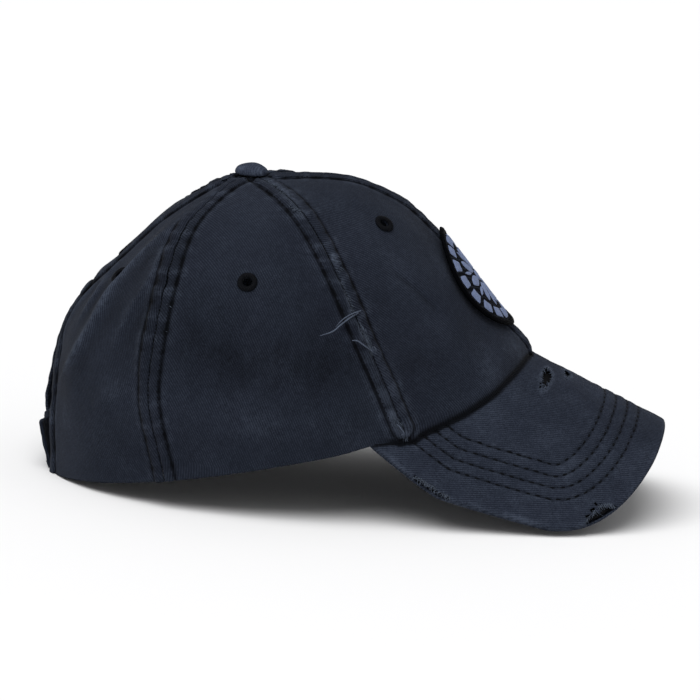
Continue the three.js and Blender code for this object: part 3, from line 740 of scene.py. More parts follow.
PAINTED_SHADE = (
    # points along the middle in mm, half width in mm, and how much painted shade darkens the cloth there
    (((-66, -67, 66), (-50, -72, 64), (-28, -73, 65), (-6, -71, 66)), 8.0, 0.22),
    (((-64, -66, 74), (-44, -70, 70), (-26, -72, 66), (-8, -70, 62), (4, -68, 56)), 34.0, 0.20),
    (((-66, 66, 74), (-44, 70, 70), (-26, 72, 66), (-8, 70, 62)), 34.0, 0.20),
    (((22, -56, 66), (34, -50, 66), (44, -40, 74)), 7.0, 0.10),
    (((-96, -58, 26), (-80, -66, 24), (-66, -72, 26)), 9.0, 0.08),
    (((-90, -54, 74), (-95, -54, 64), (-100, -51, 54)), 3.0, 0.14),
)
WORN = (
    # points along the middle in mm, half width in mm, and how much the dye is worn off
    (((-43, -11, 129), (-37, -18, 127), (-33, -26, 125), (-27, -37, 120)), 1.9, 0.6),
    (((-13, -50, 107), (-9, -55, 97), (-4, -61, 86)), 1.2, 0.80),
    (((-1, -62, 81), (2, -64, 77), (5, -65, 72)), 0.9, 0.85),
    (((16, -69, 46), (19, -69, 41), (22, -68, 37)), 2.2, 0.50),
)
SLIT_HEM = 5.5 * MM  # from the edge of the slit to its row of stitches
EYELET_HOLE = 2.2 * MM
WALL_FACING = 0.25  # faces that point less far outward are the cloth's edges and inside
CORNER_FACING = 0.15  # the same for the small outer face over each end of the visor
CORNER_FACE = 5 * MM**2


def outer_shell(panel):
    """The outer face of a crown panel's node, subdivided into a smooth sheet."""
    sheet = merged_copy(f"panel_{panel}", f"crown_{panel}")
    middles = face_middles(sheet)
    outward = middles - CROWN_CORE
    outward[:, 2] = np.maximum(outward[:, 2], 0)
    facing = (face_normals(sheet) * unit(outward)).sum(axis=1)
    corner = (face_areas(sheet) < CORNER_FACE) & (facing > CORNER_FACING)
    delete_faces(sheet, (facing < WALL_FACING) & ~corner)
    subdivide(sheet, 3)
    return sheet


def open_edge(sheet):
    """Which points of a sheet lie on its open edge."""
    corners = [key for polygon in sheet.data.polygons for key in polygon.edge_keys]
    edges, uses = np.unique(np.array(corners), axis=0, return_counts=True)
    chosen = np.zeros(len(sheet.data.vertices), dtype=bool)
    chosen[edges[uses == 1].ravel()] = True
    return chosen


def shared_edge(first, second):
    """The line where two panels meet, from the button down."""
    here = points_of(first)[open_edge(first)]
    there = points_of(second)[open_edge(second)]
    tree = KDTree(len(there))
    for k, point in enumerate(there):
        tree.insert(point, k)
    tree.balance()
    found = [tree.find(point) for point in here]
    near = np.array([place[2] for place in found]) < 0.7 * MM
    middles = (here + np.array([place[0] for place in found]))[near] / 2
    order = np.linalg.norm(middles - np.array(BUTTON_PLACE), axis=1).argsort()
    return rounded_line(middles[order][::6], 2.0 * MM)


def slit_edge(sheet, centre_seam):
    """The free edge beside the ponytail slit, from its top to the rim."""
    points = points_of(sheet)[open_edge(sheet)]
    _, away = along_and_from(points, centre_seam)
    side = np.sign(points[:, 1].mean())
    free = (away > 1.0 * MM) & (points[:, 0] < -0.105) & (np.abs(points[:, 1]) < 0.026) & (points[:, 2] > 0.001)
    free &= np.abs(points[:, 1]) > 0.1 * MM
    edge = points[free]
    edge = edge[np.argsort(-edge[:, 2])]
    start = centre_seam[-1] + np.array([0, side * 0.2 * MM, 0])
    return rounded_line(np.vstack([start, edge[3::6]]), 2.0 * MM)


def panel_flat_places(points):
    """Places in the flat panel: across from its centre line and down from the button."""
    centre = np.array(BUTTON_PLACE)
    out = points.mean(axis=0) - centre
    out[2] = 0
    out = unit(out)
    across = (points - centre) @ np.cross([0, 0, 1], out)
    reach = (points - centre) @ out
    turn = np.arctan2(np.maximum(reach, 0), points[:, 2] - 0.035)
    order = turn.argsort()
    middle = order[np.abs(across[order]) < 5 * MM]
    knots = np.linspace(turn.min(), turn.max(), 40)
    line = np.stack(
        [np.interp(knots, turn[middle], values[middle]) for values in (reach, points[:, 2])], axis=1
    )
    return across, np.interp(turn, knots, line_lengths(line))


def shape_panel(sheet, seams, hems):
    """Gives a panel its sewn bands, puckers, folds and worn places."""
    points = points_of(sheet)
    out = unit(normals_of(sheet))
    map_weave(sheet, *panel_flat_places(points))
    look = Look(points)
    look.lift += 0.22 * MM * waves(points, 0.030, 3) + 0.03 * MM * waves(points, 0.007, 5)
    look.wear_and_highlight += 0.05 * waves(points, 0.020, 7)
    for k, line in seams:
        look.sew(line, settings().cap_sewing.topstitch, k, True)
    for line in hems:
        look.sew(line, SLIT_HEM, 40, False)
    look.fold()
    look.meet_visor()
    place_points(sheet, points + out * look.lift[:, None])
    note_on(sheet, "wear_and_highlight", look.wear_and_highlight)
    note_on(sheet, "shade", look.shade)


class Look:
    """How far each point of the crown's cloth is lifted, worn, lightened by painted highlights and darkened by painted
    shade.
    """

    def __init__(self, points):
        self.points = points
        self.lift = np.zeros(len(points))
        self.wear_and_highlight = np.zeros(len(points))
        self.shade = np.zeros(len(points))

    def sew(self, line, row, seed, is_seam):
        """Puckers the cloth beside a seam or hem and pulls it in under the stitch row, with painted shade in the
        groove, the troughs and the seam line, and worn places and painted highlight on the crests.
        """
        sewing = settings().cap_sewing
        along, away = along_and_from(self.points, line)
        slant = np.stack([along + 0.25 * away, 0.2 * away], axis=1)
        ripple = waves(slant, sewing.pucker_length, 11 + seed, 6)
        small = waves(slant, 0.45 * sewing.pucker_length, 31 + seed, 6)
        band = 1 - smooth_step(away, row, row + 5.5 * MM)
        inside = 1 - smooth_step(away, row - 0.3 * MM, row + 0.6 * MM)
        groove = hump(away, row, 0.72 * MM)
        is_centre = np.abs(line[:, 1]).max() < 12 * MM
        height = sewing.pucker_height * (1.0 if is_seam else 0.7) * (0.4 if is_centre else 1.0)
        self.lift += height * (0.75 * ripple + 0.25 * small) * (0.35 + 0.65 * inside) * band
        self.lift += 0.35 * MM * hump(away, row / 2, row / 3) - sewing.groove_depth * groove
        dark = np.clip(-ripple - 0.4 * small, 0, 1.2)
        light = np.clip(ripple + 0.5 * small, 0, 1.2)
        # painted shade in the stitch groove and in the puckers' troughs
        self.shade += groove * (0.62 + 0.4 * dark)
        self.shade += inside * (0.12 + 0.46 * dark * smooth_step(away, 0.3 * row, row))
        # worn dye and painted highlight on the puckers' crests and beside the row
        self.wear_and_highlight += inside * 0.25 * light
        halo = hump(away, row + 1.9 * MM, 1.4 * MM)
        self.wear_and_highlight += 0.20 * halo * np.clip(0.55 + 0.5 * ripple, 0, 1)
        if is_seam:
            # painted shade along the seam line
            dip = hump(away, 0, 0.45 * MM)
            self.lift -= 0.3 * MM * dip
            self.shade += 0.28 * dip

    def fold(self):
        """Raises the folds and dents that wearing the cap has left, wears their crests and lightens them and the swells
        with painted highlight, and paints shade beside the crisp folds, in the narrow creases and along the listed
        shaded places.
        """
        cloth = tree_of(*(NODES[f"panel_{panel}"] for panel in PANELS))
        for _, crest, width, height, worn in FOLDS:
            line = settle(cloth, rounded_line(np.array(crest) * MM, 3 * MM))[0]
            along, away = along_and_from(self.points, line)
            share = along / line_lengths(line)[-1]
            ends = np.sin(np.pi * np.clip(share, 0.001, 0.999)) ** 0.6
            sharp = np.exp(-np.maximum(np.hypot(away, 0.35 * width * MM) - 0.35 * width * MM, 0) / (width * MM))
            crisp = 0.2 < worn
            near = (sharp if crisp else hump(away, 0, width * MM)) * ends
            self.lift += height * MM * near
            if crisp:
                # painted shade in the valley beside a crisp fold
                self.shade += 0.20 * hump(away, 2.4 * width * MM, width * MM) * ends
            uneven = 0.75 + 0.25 * waves(self.points, 0.012, 51)
            # worn dye and painted highlight along the crest or swell
            self.wear_and_highlight += worn * hump(away, 0, (0.8 if crisp else 1.0) * width * MM) * ends * uneven
            if height < 0 and width < 3:
                # painted shade in a narrow crease
                self.shade += 0.42 * hump(away, 0, 0.6 * width * MM) * ends
        # painted shade along the listed shaded lines, and faded dye along the WORN lines
        for values, places in ((self.shade, PAINTED_SHADE), (self.wear_and_highlight, WORN)):
            for middle, width, share in places:
                line = settle(cloth, rounded_line(np.array(middle) * MM, 3 * MM))[0]
                _, away = along_and_from(self.points, line)
                uneven = np.clip(1 + 0.35 * waves(self.points, 0.35 * width * MM, 61), 0, 1.5)
                values += share * hump(away, 0, width * MM) * uneven

    def meet_visor(self):
        """Tucks the cloth in and paints shade on it where it is sewn to the visor."""
        shape = VisorShape()
        across, forward, height = shape.flat(self.points)
        rim = shape.rim_line(120)
        behind = np.interp(across, rim[:, 0], rim[:, 1]) - forward
        beside = 1 - smooth_step(behind, 2.5 * MM, 5.0 * MM)
        beside *= 1 - smooth_step(np.abs(across), np.abs(rim[:, 0]).max() - 4 * MM, np.abs(rim[:, 0]).max())
        self.lift -= 0.6 * MM * beside * (1 - smooth_step(height, 0.2 * MM, 1.4 * MM))
        self.lift += 0.4 * MM * beside * hump(height, 2.8 * MM, 1.1 * MM)
        # painted shade in the join with the visor
        self.shade += 0.95 * beside * (1 - smooth_step(height, 0.4 * MM, 1.2 * MM))


def make_crown_sheets():
    """The six outer sheets, the seams between them and the slit's edges."""
    sheets = {panel: outer_shell(panel) for panel in PANELS}
    seams = {pair: shared_edge(sheets[pair[0]], sheets[pair[1]]) for pair in SEAMS}
    centre_back = seams[("back_right", "back_left")]
    hems = {panel: slit_edge(sheets[panel], centre_back) for panel in ("back_right", "back_left")}
    return sheets, seams, hems


class CAP_OT_crown(bpy.types.Operator):
    """Makes the six crown panels of washed twill, with their seam bands, puckers and folds"""

    bl_idname = "cap.crown"
    bl_label = "Crown Panels"

    def execute(self, context):
        sewing = context.scene.cap_sewing
        sheets, seams, hems = make_crown_sheets()
        for panel, sheet in sheets.items():
            own_seams = [(k, seams[pair]) for k, pair in enumerate(SEAMS) if panel in pair]
            shape_panel(sheet, own_seams, [hems[panel]] if panel in hems else [])
            eyelet = np.array(box_middle(f"eyelet_{panel}"))
            middles = face_middles(sheet)
            delete_faces(sheet, np.linalg.norm(middles - eyelet, axis=1) < EYELET_HOLE)
            thicken(sheet, sewing.cloth)
            finish_piece(sheet, bpy.data.materials["Crown Twill"], "twill", f"panel_{panel}")
        keep_lines(seams, hems)
        return {"FINISHED"}


def keep_lines(seams, hems):
    """Keeps the seams and hems on the scene, for the pieces that follow them."""
    lines = {"|".join(pair): line.ravel().tolist() for pair, line in seams.items()}
    lines.update({panel: line.ravel().tolist() for panel, line in hems.items()})
    bpy.context.scene["cap_lines"] = lines


def kept_line(key):
    return np.array(bpy.context.scene["cap_lines"][key]).reshape(-1, 3)


# Stitches


def stitch_master(size, width, height):
    """One stitch: a short thread that dives into the cloth at both ends."""
    deselect_all()
    bpy.ops.mesh.primitive_uv_sphere_add(
        segments=6, ring_count=6, radius=0.5, rotation=(0, math.pi / 2, 0), scale=(height, width, size)
    )
    bpy.ops.object.transform_apply(location=False, rotation=True, scale=True)
    stitch = take_primitive("stitch")
    points = points_of(stitch)
    ends = np.abs(points[:, 0]) / (size / 2)
    points[:, 2] -= 0.9 * height * ends**2
    place_points(stitch, points)
    return stitch


def row_frames(tree, line, pitch, seed):
    """Places of stitches along a line on a surface, with their ways along and out."""
    random = np.random.default_rng(seed)
    total = line_lengths(line)[-1]
    places = np.arange(pitch / 2, total - pitch / 3, pitch)
    places = places + random.uniform(-0.06, 0.06, len(places)) * pitch
    on, out = settle(tree, resample(line, places))
    ahead, _ = settle(tree, resample(line, places + 0.3 * pitch))
    behind, _ = settle(tree, resample(line, np.maximum(places - 0.3 * pitch, 0)))
    along = unit(ahead - behind)
    out = unit(out - along * (out * along).sum(axis=1, keepdims=True))
    return on, along, out


def beside(tree, line, distance):
    """A line on the crown beside another line."""
    out = outward_ways(line)
    along = unit(np.gradient(line, axis=0))
    side = unit(np.cross(out, along))
    return settle(tree, line + side * distance)[0]


def stitch_rows(name, rows, tree, size, width, height, pitch, sink, material):
    master = stitch_master(size, width, height)
    frames = [row_frames(tree, row, pitch, 70 + k) for k, row in enumerate(rows)]
    on, along, out = (np.concatenate(parts) for parts in zip(*frames))
    piece = copies_of(master, name, on - out * sink, along, out)
    bpy.data.objects.remove(master)
    return finish_piece(piece, material, "thread")


def sew_rows(name, rows, tree, thread):
    sewing = settings().cap_sewing
    stitch_rows(
        name, rows, tree, sewing.stitch_length, sewing.stitch_width, 0.45 * MM, sewing.stitch_pitch, 0.12 * MM, thread
    )


class CAP_OT_seam_stitches(bpy.types.Operator):
    """Sews the rows of topstitching beside the crown's seams and the slit"""

    bl_idname = "cap.seam_stitches"
    bl_label = "Seam Stitches"

    def execute(self, context):
        sewing = context.scene.cap_sewing
        tree = tree_of(*(bpy.data.objects[f"crown_{panel}"] for panel in PANELS))
        thread = bpy.data.materials["Topstitch Thread"]
        for pair in SEAMS:
            line = kept_line("|".join(pair))
            line = line[line_lengths(line) > 7 * MM]
            rows = [beside(tree, line, side * sewing.topstitch) for side in (-1, 1)]
            sew_rows(f"topstitch_{pair[0]}_{pair[1]}", rows, tree, thread)
            stitch_rows(
                f"seam_thread_{pair[0]}_{pair[1]}", [line], tree, 1.25 * MM, 0.42 * MM, 0.3 * MM, 1.6 * MM, 0.0,
                bpy.data.materials["Seam Thread"],
            )
        hems = [kept_line(panel) for panel in ("back_right", "back_left")]
        rows = [beside(tree, hems[0], SLIT_HEM), beside(tree, hems[1], -SLIT_HEM)]
        sew_rows("topstitch_slit", rows, tree, thread)
        return {"FINISHED"}


# The visor

RIM_HALF_TURN = 69  # degrees of the rim that the visor covers on each side of its front


class VisorShape:
    """The bent visor: places in its flat pattern against places in the frame."""

    def __init__(self):
        sizes = settings().cap_visor
        self.bend = sizes.bend
        self.forward = np.array([math.cos(sizes.slope), 0, -math.sin(sizes.slope)])
        self.up = np.array([math.sin(sizes.slope), 0, math.cos(sizes.slope)])
        self.rim_middle = BUTTON_PLACE.x + sizes.button_set_back
        self.rim = np.array([self.rim_middle + sizes.rim_length, 0, 0])
        top = max(NODES["visor_top_cloth"].data.vertices, key=lambda vertex: vertex.co.z).co
        self.rim[2] = top.z - math.tan(sizes.slope) * (self.rim[0] - top.x)
        steps = np.linspace(-0.1, 0.1, 2001)
        q = steps / self.bend
        self.steps = steps
        self.arcs = self.bend / 2 * (q * np.sqrt(1 + q * q) + np.arcsinh(q))

    def place(self, across, forward, lift):
        """Points at places in the flat pattern, lifted off the top cloth's face."""
        side = np.interp(across, self.arcs, self.steps)
        slant = side / self.bend
        out = unit(self.up + slant[:, None] * np.array([0, 1.0, 0]))
        drop = side**2 / (2 * self.bend)
        middle = self.rim + forward[:, None] * self.forward - drop[:, None] * self.up
        middle[:, 1] += side
        return middle + np.asarray(lift).reshape(-1, 1) * out

    def flat(self, points):
        """Places in the flat pattern of points on or near the visor, and their heights over its face."""
        from_rim = points - self.rim
        side = points[:, 1].copy()
        height = from_rim @ self.up
        for _ in range(3):
            slant = side / self.bend
            lift = (height + side**2 / (2 * self.bend)) / np.sqrt(1 + slant**2)
            side = points[:, 1] - lift * slant / np.sqrt(1 + slant**2)
        return np.interp(side, self.steps, self.arcs), from_rim @ self.forward, lift

    def outline(self):
        """The board's outer edge in the flat pattern, from one corner round the front to the other."""
        board = np.array([vertex.co for vertex in NODES["visor_board"].data.vertices])
        flat = np.stack(self.flat(board)[:2], axis=1)
        hull = flat[geometry.convex_hull_2d([tuple(point) for point in flat])]
        gaps = np.linalg.norm(np.roll(hull, -1, axis=0) - hull, axis=1)
        hull = np.roll(hull, -(gaps.argmax() + 1), axis=0)
        if hull[0, 0] > hull[-1, 0]:
            hull = hull[::-1]
        apart = np.linalg.norm(np.diff(hull, axis=0), axis=1) > 1.5 * MM
        return rounded_line(hull[np.concatenate([[True], apart])], 1.0 * MM)

    def rim_line(self, count):
        """The crown's rim in the flat pattern, a little inside the cloth of the crown."""
        sizes = settings().cap_visor
        tuck = 1.5 * MM
        turns = np.radians(np.linspace(-RIM_HALF_TURN, RIM_HALF_TURN, count))
        side = (sizes.rim_width - tuck) * np.sin(turns)
        ahead = self.rim_middle + (sizes.rim_length - tuck) * np.cos(turns)
        drop = side**2 / (2 * self.bend)
        forward = (ahead - self.rim[0] + drop * math.sin(sizes.slope)) / math.cos(sizes.slope)
        return np.stack([np.interp(side, self.steps, self.arcs), forward], axis=1)


VISOR_COLUMNS = 300
VISOR_ROWS = 84
LIP_ROWS = 9
TOP_LIP = ((0.0, 0.0), (1.1, -0.10), (1.65, -0.60), (1.8, -1.3), (1.6, -1.8), (0.9, -1.93))  # mm out, mm up
VISOR_HOLES = (
    # across, forward, half across, half forward in mm, and raggedness
    (-18.3, 9.2, 8.2, 2.0, 0.25),
    (-3.6, 17.7, 5.0, 1.6, 0.3),
)
EDGE_TEARS = (
    # from and to in mm along the edge from the middle of the front, and depth in mm
    (-82.0, -67.0, 4.2),
    (-158.0, -141.0, 0.9),
    (64.0, 69.0, 1.1),
)


def edge_outward(edge):
    """Ways out of the visor's outline in the flat pattern, square to it."""
    along = unit(np.gradient(edge, axis=0))
    outward = np.stack([-along[:, 1], along[:, 0]], axis=1)
    return -outward if outward[len(edge) // 2, 1] < 0 else outward


def visor_sheet(name, shape, top):
    """One of the visor's cloths as a sheet, with each point's flat place and distance to the edge."""
    sizes = settings().cap_visor
    sheet, column, row = grid_piece(name, VISOR_COLUMNS, VISOR_ROWS + LIP_ROWS)
    edge = shape.outline()
    edge_share = line_lengths(edge) / line_lengths(edge)[-1]
    rim = shape.rim_line(200)
    rim_share = line_lengths(rim) / line_lengths(rim)[-1]
    outward = edge_outward(edge)
    body = row * (VISOR_ROWS + LIP_ROWS) / VISOR_ROWS
    on_edge = np.stack([np.interp(column, edge_share, edge[:, k]) for k in range(2)], axis=1)
    on_rim = np.stack([np.interp(column, rim_share, rim[:, k]) for k in range(2)], axis=1)
    away = unit(np.stack([np.interp(column, edge_share, outward[:, k]) for k in range(2)], axis=1))
    share = np.clip(body, 0, 1)[:, None]
    flat = on_rim + (on_edge - on_rim) * share
    lip = np.clip((body - 1) / (LIP_ROWS / VISOR_ROWS), 0, 1) * (len(TOP_LIP) - 1)
    lip_table = np.array(TOP_LIP) * MM
    out = np.interp(lip, range(len(TOP_LIP)), lip_table[:, 0])
    up = np.interp(lip, range(len(TOP_LIP)), lip_table[:, 1])
    flat = flat + away * out[:, None]
    lift = up if top else -sizes.thickness - up
    place_points(sheet, shape.place(flat[:, 0], flat[:, 1], lift))
    normals = normals_of(sheet)
    wanted = shape.up if top else -shape.up
    if (normals[VISOR_COLUMNS * 20] * wanted).sum() < 0:
        sheet.data.flip_normals()
    _, inward = along_and_from(flat, edge)
    inward = np.where(body > 1, -out, inward)
    return sheet, flat, inward


def shape_visor(sheet, flat, inward, top, seed):
    """Pulls in the stitched rows, ripples the cloth, marks where it is worn, and paints shade along the rows and where
    it meets the crown.
    """
    sizes = settings().cap_visor
    points = points_of(sheet)
    out = unit(normals_of(sheet))
    map_weave(sheet, flat[:, 0], flat[:, 1])
    body = smooth_step(inward, 0.5 * MM, 3 * MM)
    lift = body * (0.10 * MM * waves(flat, 0.016, seed) + 0.06 * MM * waves(flat, 0.005, seed + 1))
    wear_and_highlight = 0.04 + 0.05 * waves(flat, 0.018, seed + 2)
    shade = np.zeros(len(flat))
    rows = sizes.first_row + sizes.row_pitch * np.arange(sizes.rows)
    for k, row in enumerate(rows):
        near = hump(inward, row, 0.66 * MM)
        ripple = waves(flat, sizes.stitch_pitch * 1.1, seed + 5 + k, 6)
        lift -= 0.42 * MM * near * (1 + 0.25 * ripple)
        lift += 0.16 * MM * hump(inward, row + sizes.row_pitch / 2, 1.5 * MM)
        beside_row = hump(inward, row - 0.9 * MM, 0.7 * MM) + hump(inward, row + 0.9 * MM, 0.7 * MM)
        lift += 0.1 * MM * ripple * beside_row
        # painted shade in the row's groove
        shade += near * (0.55 + 0.15 * ripple)
        wear_and_highlight += 0.13 * np.clip(0.4 + 0.8 * ripple, 0, 1.5) * beside_row
    edge_worn = hump(inward, -1.0 * MM, 1.4 * MM)
    wear_and_highlight += edge_worn * np.clip(0.12 + 0.16 * waves(flat, 0.02, seed + 20), 0, 1)
    if top:
        for across, forward, wide, deep, _ in VISOR_HOLES:
            size = np.hypot((flat[:, 0] / MM - across) / wide, (flat[:, 1] / MM - forward) / deep)
            wear_and_highlight += 0.42 * hump(size, 1.3, 0.28)
            lift += 0.3 * MM * hump(size, 1.15, 0.3)
        # painted shade where the visor meets the crown
        shade += 0.95 * (1 - smooth_step(distance_to_crown(points, flat), 0.5 * MM, 1.3 * MM))
    place_points(sheet, points + out * lift[:, None])
    note_on(sheet, "wear_and_highlight", wear_and_highlight)
    note_on(sheet, "shade", shade)


def distance_to_crown(points, flat):
    """How far the visor's points are from the crown's cloth, or 1 m where that is more than 12 mm."""
    crown = tree_of(*(bpy.data.objects[f"crown_{panel}"] for panel in PANELS[:2] + PANELS[3:5]))
    away = np.ones(len(points))
    _, from_rim = along_and_from(flat, VisorShape().rim_line(120))
    for k in np.flatnonzero(from_rim < 12 * MM):
        found = crown.find_nearest(Vector(points[k]), 5 * MM)
        if found[0] is not None:
            away[k] = found[3]
    return away


def edge_place(flat, edge):
    """Length along the edge from the middle of the front, negative on the wearer's right."""
    along, _ = along_and_from(flat, edge)
    return along - line_lengths(edge)[-1] / 2


def torn_faces(sheet, shape):
    """Faces of the top cloth that are worn away, with ragged borders."""
    middles = face_middles(sheet)
    flat = np.stack(shape.flat(middles)[:2], axis=1)
    edge = shape.outline()
    inside = inside_outline(flat, edge)
    torn = np.zeros(len(middles), dtype=bool)
    for k, (across, forward, wide, deep, ragged) in enumerate(VISOR_HOLES):
        size = np.hypot((flat[:, 0] / MM - across) / wide, (flat[:, 1] / MM - forward) / deep)
        torn |= size < 1 + ragged * waves(flat, 0.0022, 200 + k)
    place = edge_place(flat, edge) / MM
    _, away = along_and_from(flat, edge)
    inward = np.where(inside, away, -away) / MM
    for k, (start, end, depth) in enumerate(EDGE_TEARS):
        share = np.clip((place - start) / (end - start), 0, 1)
        border = depth * np.sin(np.pi * share) ** 0.7 * (1 + 0.45 * waves(flat, 0.003, 220 + k)) - 0.3
        torn |= (share > 0) & (share < 1) & (inward < border) & (inward > -1.55)
    return torn


def inside_outline(flat, edge):
    """Whether flat places lie inside the outline, by their side of its nearest stretch."""
    starts, steps = edge[:-1], np.diff(edge, axis=0)
    inside = np.empty(len(flat), dtype=bool)
    for first in range(0, len(flat), 4000):
        part = flat[first : first + 4000, None]
        nearest = np.linalg.norm(part - starts - steps / 2, axis=2).argmin(axis=1)
        offset = flat[first : first + 4000] - starts[nearest]
        step = steps[nearest]
        inside[first : first + 4000] = step[:, 0] * offset[:, 1] - step[:, 1] * offset[:, 0] < 0
    return inside


class CAP_OT_visor(bpy.types.Operator):
    """Makes the visor's top and under cloths, with sewn channels, worn holes and a torn edge"""

    bl_idname = "cap.visor"
    bl_label = "Visor Cloths"

    def execute(self, context):
        shape = VisorShape()
        twill = bpy.data.materials["Visor Twill"]
        top, flat, inward = visor_sheet("visor_top", shape, True)
        shape_visor(top, flat, inward, True, 101)
        delete_faces(top, torn_faces(top, shape))
        thicken(top, 0.6 * MM)
        finish_piece(top, twill, "twill", "visor_top_cloth")
        under, flat, inward = visor_sheet("visor_under", shape, False)
        shape_visor(under, flat, inward, False, 141)
        thicken(under, 0.6 * MM)
        finish_piece(under, twill, "twill", "visor_under_cloth")
        return {"FINISHED"}


def visor_row_lines(shape, lift):
    """The stitch rows as lines in space, each a steady way in from the edge."""
    sizes = settings().cap_visor
    edge = shape.outline()
    inward = -edge_outward(edge)
    rim = shape.rim_line(200)
    lines = []
    for k in range(sizes.rows):
        row = sizes.first_row + k * sizes.row_pitch
        moved = edge + inward * row
        _, away = along_and_from(moved, edge)
        _, from_rim = along_and_from(moved, rim)
        keep = (np.abs(away - row) < 0.2 * MM) & (from_rim > 1.2 * MM)
        ahead = np.interp(moved[:, 0], rim[:, 0], rim[:, 1])
        keep &= moved[:, 1] > ahead
        flat = rounded_line(moved[keep][::5], 2.0 * MM)
        lines.append(shape.place(flat[:, 0], flat[:, 1], np.full(len(flat), lift)))
    return lines


class CAP_OT_visor_stitches(bpy.types.Operator):
    """Sews the rows of stitching round the visor, above and below"""

    bl_idname = "cap.visor_stitches"
    bl_label = "Visor Stitches"

    def execute(self, context):
        sizes = context.scene.cap_visor
        shape = VisorShape()
        thread = bpy.data.materials["Topstitch Thread"]
        for name, lift in (("visor_top", 0.0), ("visor_under", -sizes.thickness)):
            tree = tree_of(bpy.data.objects[name])
            stitch_rows(
                f"{name}_stitches",
                visor_row_lines(shape, lift),
                tree,
                sizes.stitch_length,
                0.95 * MM,
                0.6 * MM,
                sizes.stitch_pitch,
                0.02 * MM,
                thread,
            )
        return {"FINISHED"}


# Tape, band and straps


def strip_along(name, line, out, width, thickness, columns=6):
    """A flat strip that follows a line, lying square to the ways out."""
    strip, across, down = grid_piece(name, columns, len(line) - 1)
    place = np.rint(down * (len(line) - 1)).astype(int)
    along = unit(np.gradient(line, axis=0))
    side = unit(np.cross(out, along))
    points = line[place] + side[place] * ((across - 0.5) * width)[:, None]
    place_points(strip, points)
    map_weave(strip, (across - 0.5) * width, line_lengths(line)[place])
    if (normals_of(strip) * out[place]).sum() < 0:
        strip.data.flip_normals()
    thicken(strip, thickness)
    return strip


class CAP_OT_tape(bpy.types.Operator):
    """Lays the tape that covers the seams inside the crown"""

    bl_idname = "cap.tape"
    bl_label = "Seam Tape"

    def execute(self, context):
        sewing = context.scene.cap_sewing
        for pair in SEAMS:
            line = kept_line("|".join(pair))[:-2]
            line = np.vstack([line[0] + 2 * (line[0] - line[1]), line])  # the tapes cross under the button
            out = outward_ways(line)
            inside = line - out * (sewing.cloth + 1.0 * MM)
            tape = strip_along(f"tape_{pair[0]}_{pair[1]}", inside, out, sewing.tape_width, 0.6 * MM)
            finish_piece(tape, bpy.data.materials["Strap Twill"], "twill")
        return {"FINISHED"}


def soften(piece, seed):
    """Rounds the edges of a copied strap or band and lets its cloth ripple a little."""
    apply_modifier(
        piece, "BEVEL", width=0.45 * MM, segments=2, limit_method="ANGLE", angle_limit=math.radians(50)
    )
    subdivide(piece, 2)
    points = points_of(piece)
    out = unit(normals_of(piece))
    place_points(piece, points + out * (0.12 * MM * waves(points, 0.006, seed))[:, None])
    note_on(piece, "wear_and_highlight", 0.10 * waves(points, 0.006, seed + 1))


class CAP_OT_straps(bpy.types.Operator):
    """Makes the two halves of the back strap, with their edge stitching"""

    bl_idname = "cap.straps"
    bl_label = "Back Straps"

    def execute(self, context):
        for name, seed in (("strap_lower", 301), ("strap_upper", 302)):
            strap = merged_copy(name, f"{name}_cloth")
            low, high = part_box(name)
            soften(strap, seed)
            finish_piece(strap, bpy.data.materials["Strap Twill"], "twill", name)
            tree = tree_of(strap)
            rows = []
            for height in (0.0022, high.z - 0.0024):
                side = np.linspace(low.y + 2.2 * MM, high.y - 2.2 * MM, 24)
                line = np.array([cast_on(tree, place, height) for place in side])
                rows.append(line)
            stitch_rows(
                f"{name}_stitches", rows, tree, 1.85 * MM, 0.7 * MM, 0.45 * MM, 2.4 * MM, 0.0,
                bpy.data.materials["Topstitch Thread"],
            )
        return {"FINISHED"}


def cast_on(tree, side, height):
    """The outermost place of the back at a distance to one side and a height."""
    hit = tree.ray_cast(Vector((-0.2, side, height)), Vector((1, 0, 0)))[0]
    if hit is None:
        hit = tree.find_nearest(Vector((-0.125, side, height)))[0]
    return np.array(hit)


class CAP_OT_sweatband(bpy.types.Operator):
    """Makes the band of folded cloth inside the rim"""

    bl_idname = "cap.sweatband"
    bl_label = "Sweatband"

    def execute(self, context):
        band = merged_copy("sweatband", "sweatband_cloth")
        soften(band, 311)
        finish_piece(band, bpy.data.materials["Sweatband Twill"], "band", "sweatband")
        return {"FINISHED"}


# Button and eyelets


class CAP_OT_button(bpy.types.Operator):
    """Makes the cloth-covered button on the top"""

    bl_idname = "cap.button"
    bl_label = "Button"

    def execute(self, context):
        low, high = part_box("button")
        radius = (high.y - low.y) / 2
        centre = Vector((BUTTON_PLACE.x, 0, high.z - 0.62 * radius))
        deselect_all()
        bpy.ops.mesh.primitive_uv_sphere_add(segments=72, ring_count=36, radius=radius, location=centre)
        bpy.ops.object.transform_apply(location=True)
        button = take_primitive("button_cloth")
        points = points_of(button) - np.array(centre)
        height = points[:, 2] / radius
        around = np.arctan2(points[:, 1], points[:, 0])
        flat = np.where(height > 0, 0.60 * np.abs(height) ** 0.85, -0.22 * np.abs(height))
        points[:, 2] = flat * radius
        pleats = hump(height, -0.05, 0.35) * (0.012 * np.sin(13 * around) + 0.010 * np.sin(22 * around + 1))
        points[:, :2] *= (1 + pleats - 0.10 * (height < 0) * np.abs(height))[:, None]
        points += unit(points) * (0.10 * MM * waves(points, 0.0045, 401))[:, None]
        place_points(button, points + np.array(centre))
        note_on(button, "wear_and_highlight", 0.12 + 0.16 * waves(points, 0.004, 402) + 0.15 * hump(height, 0.35, 0.3))
        # painted shade on the button's lower side, where it sits on the crown
        note_on(button, "shade", 0.7 * smooth_step(-height, 0.0, 0.35))
        finish_piece(button, bpy.data.materials["Worn Button Twill"], "twill", "button")
        return {"FINISHED"}


EYELET_WRAPS = 34


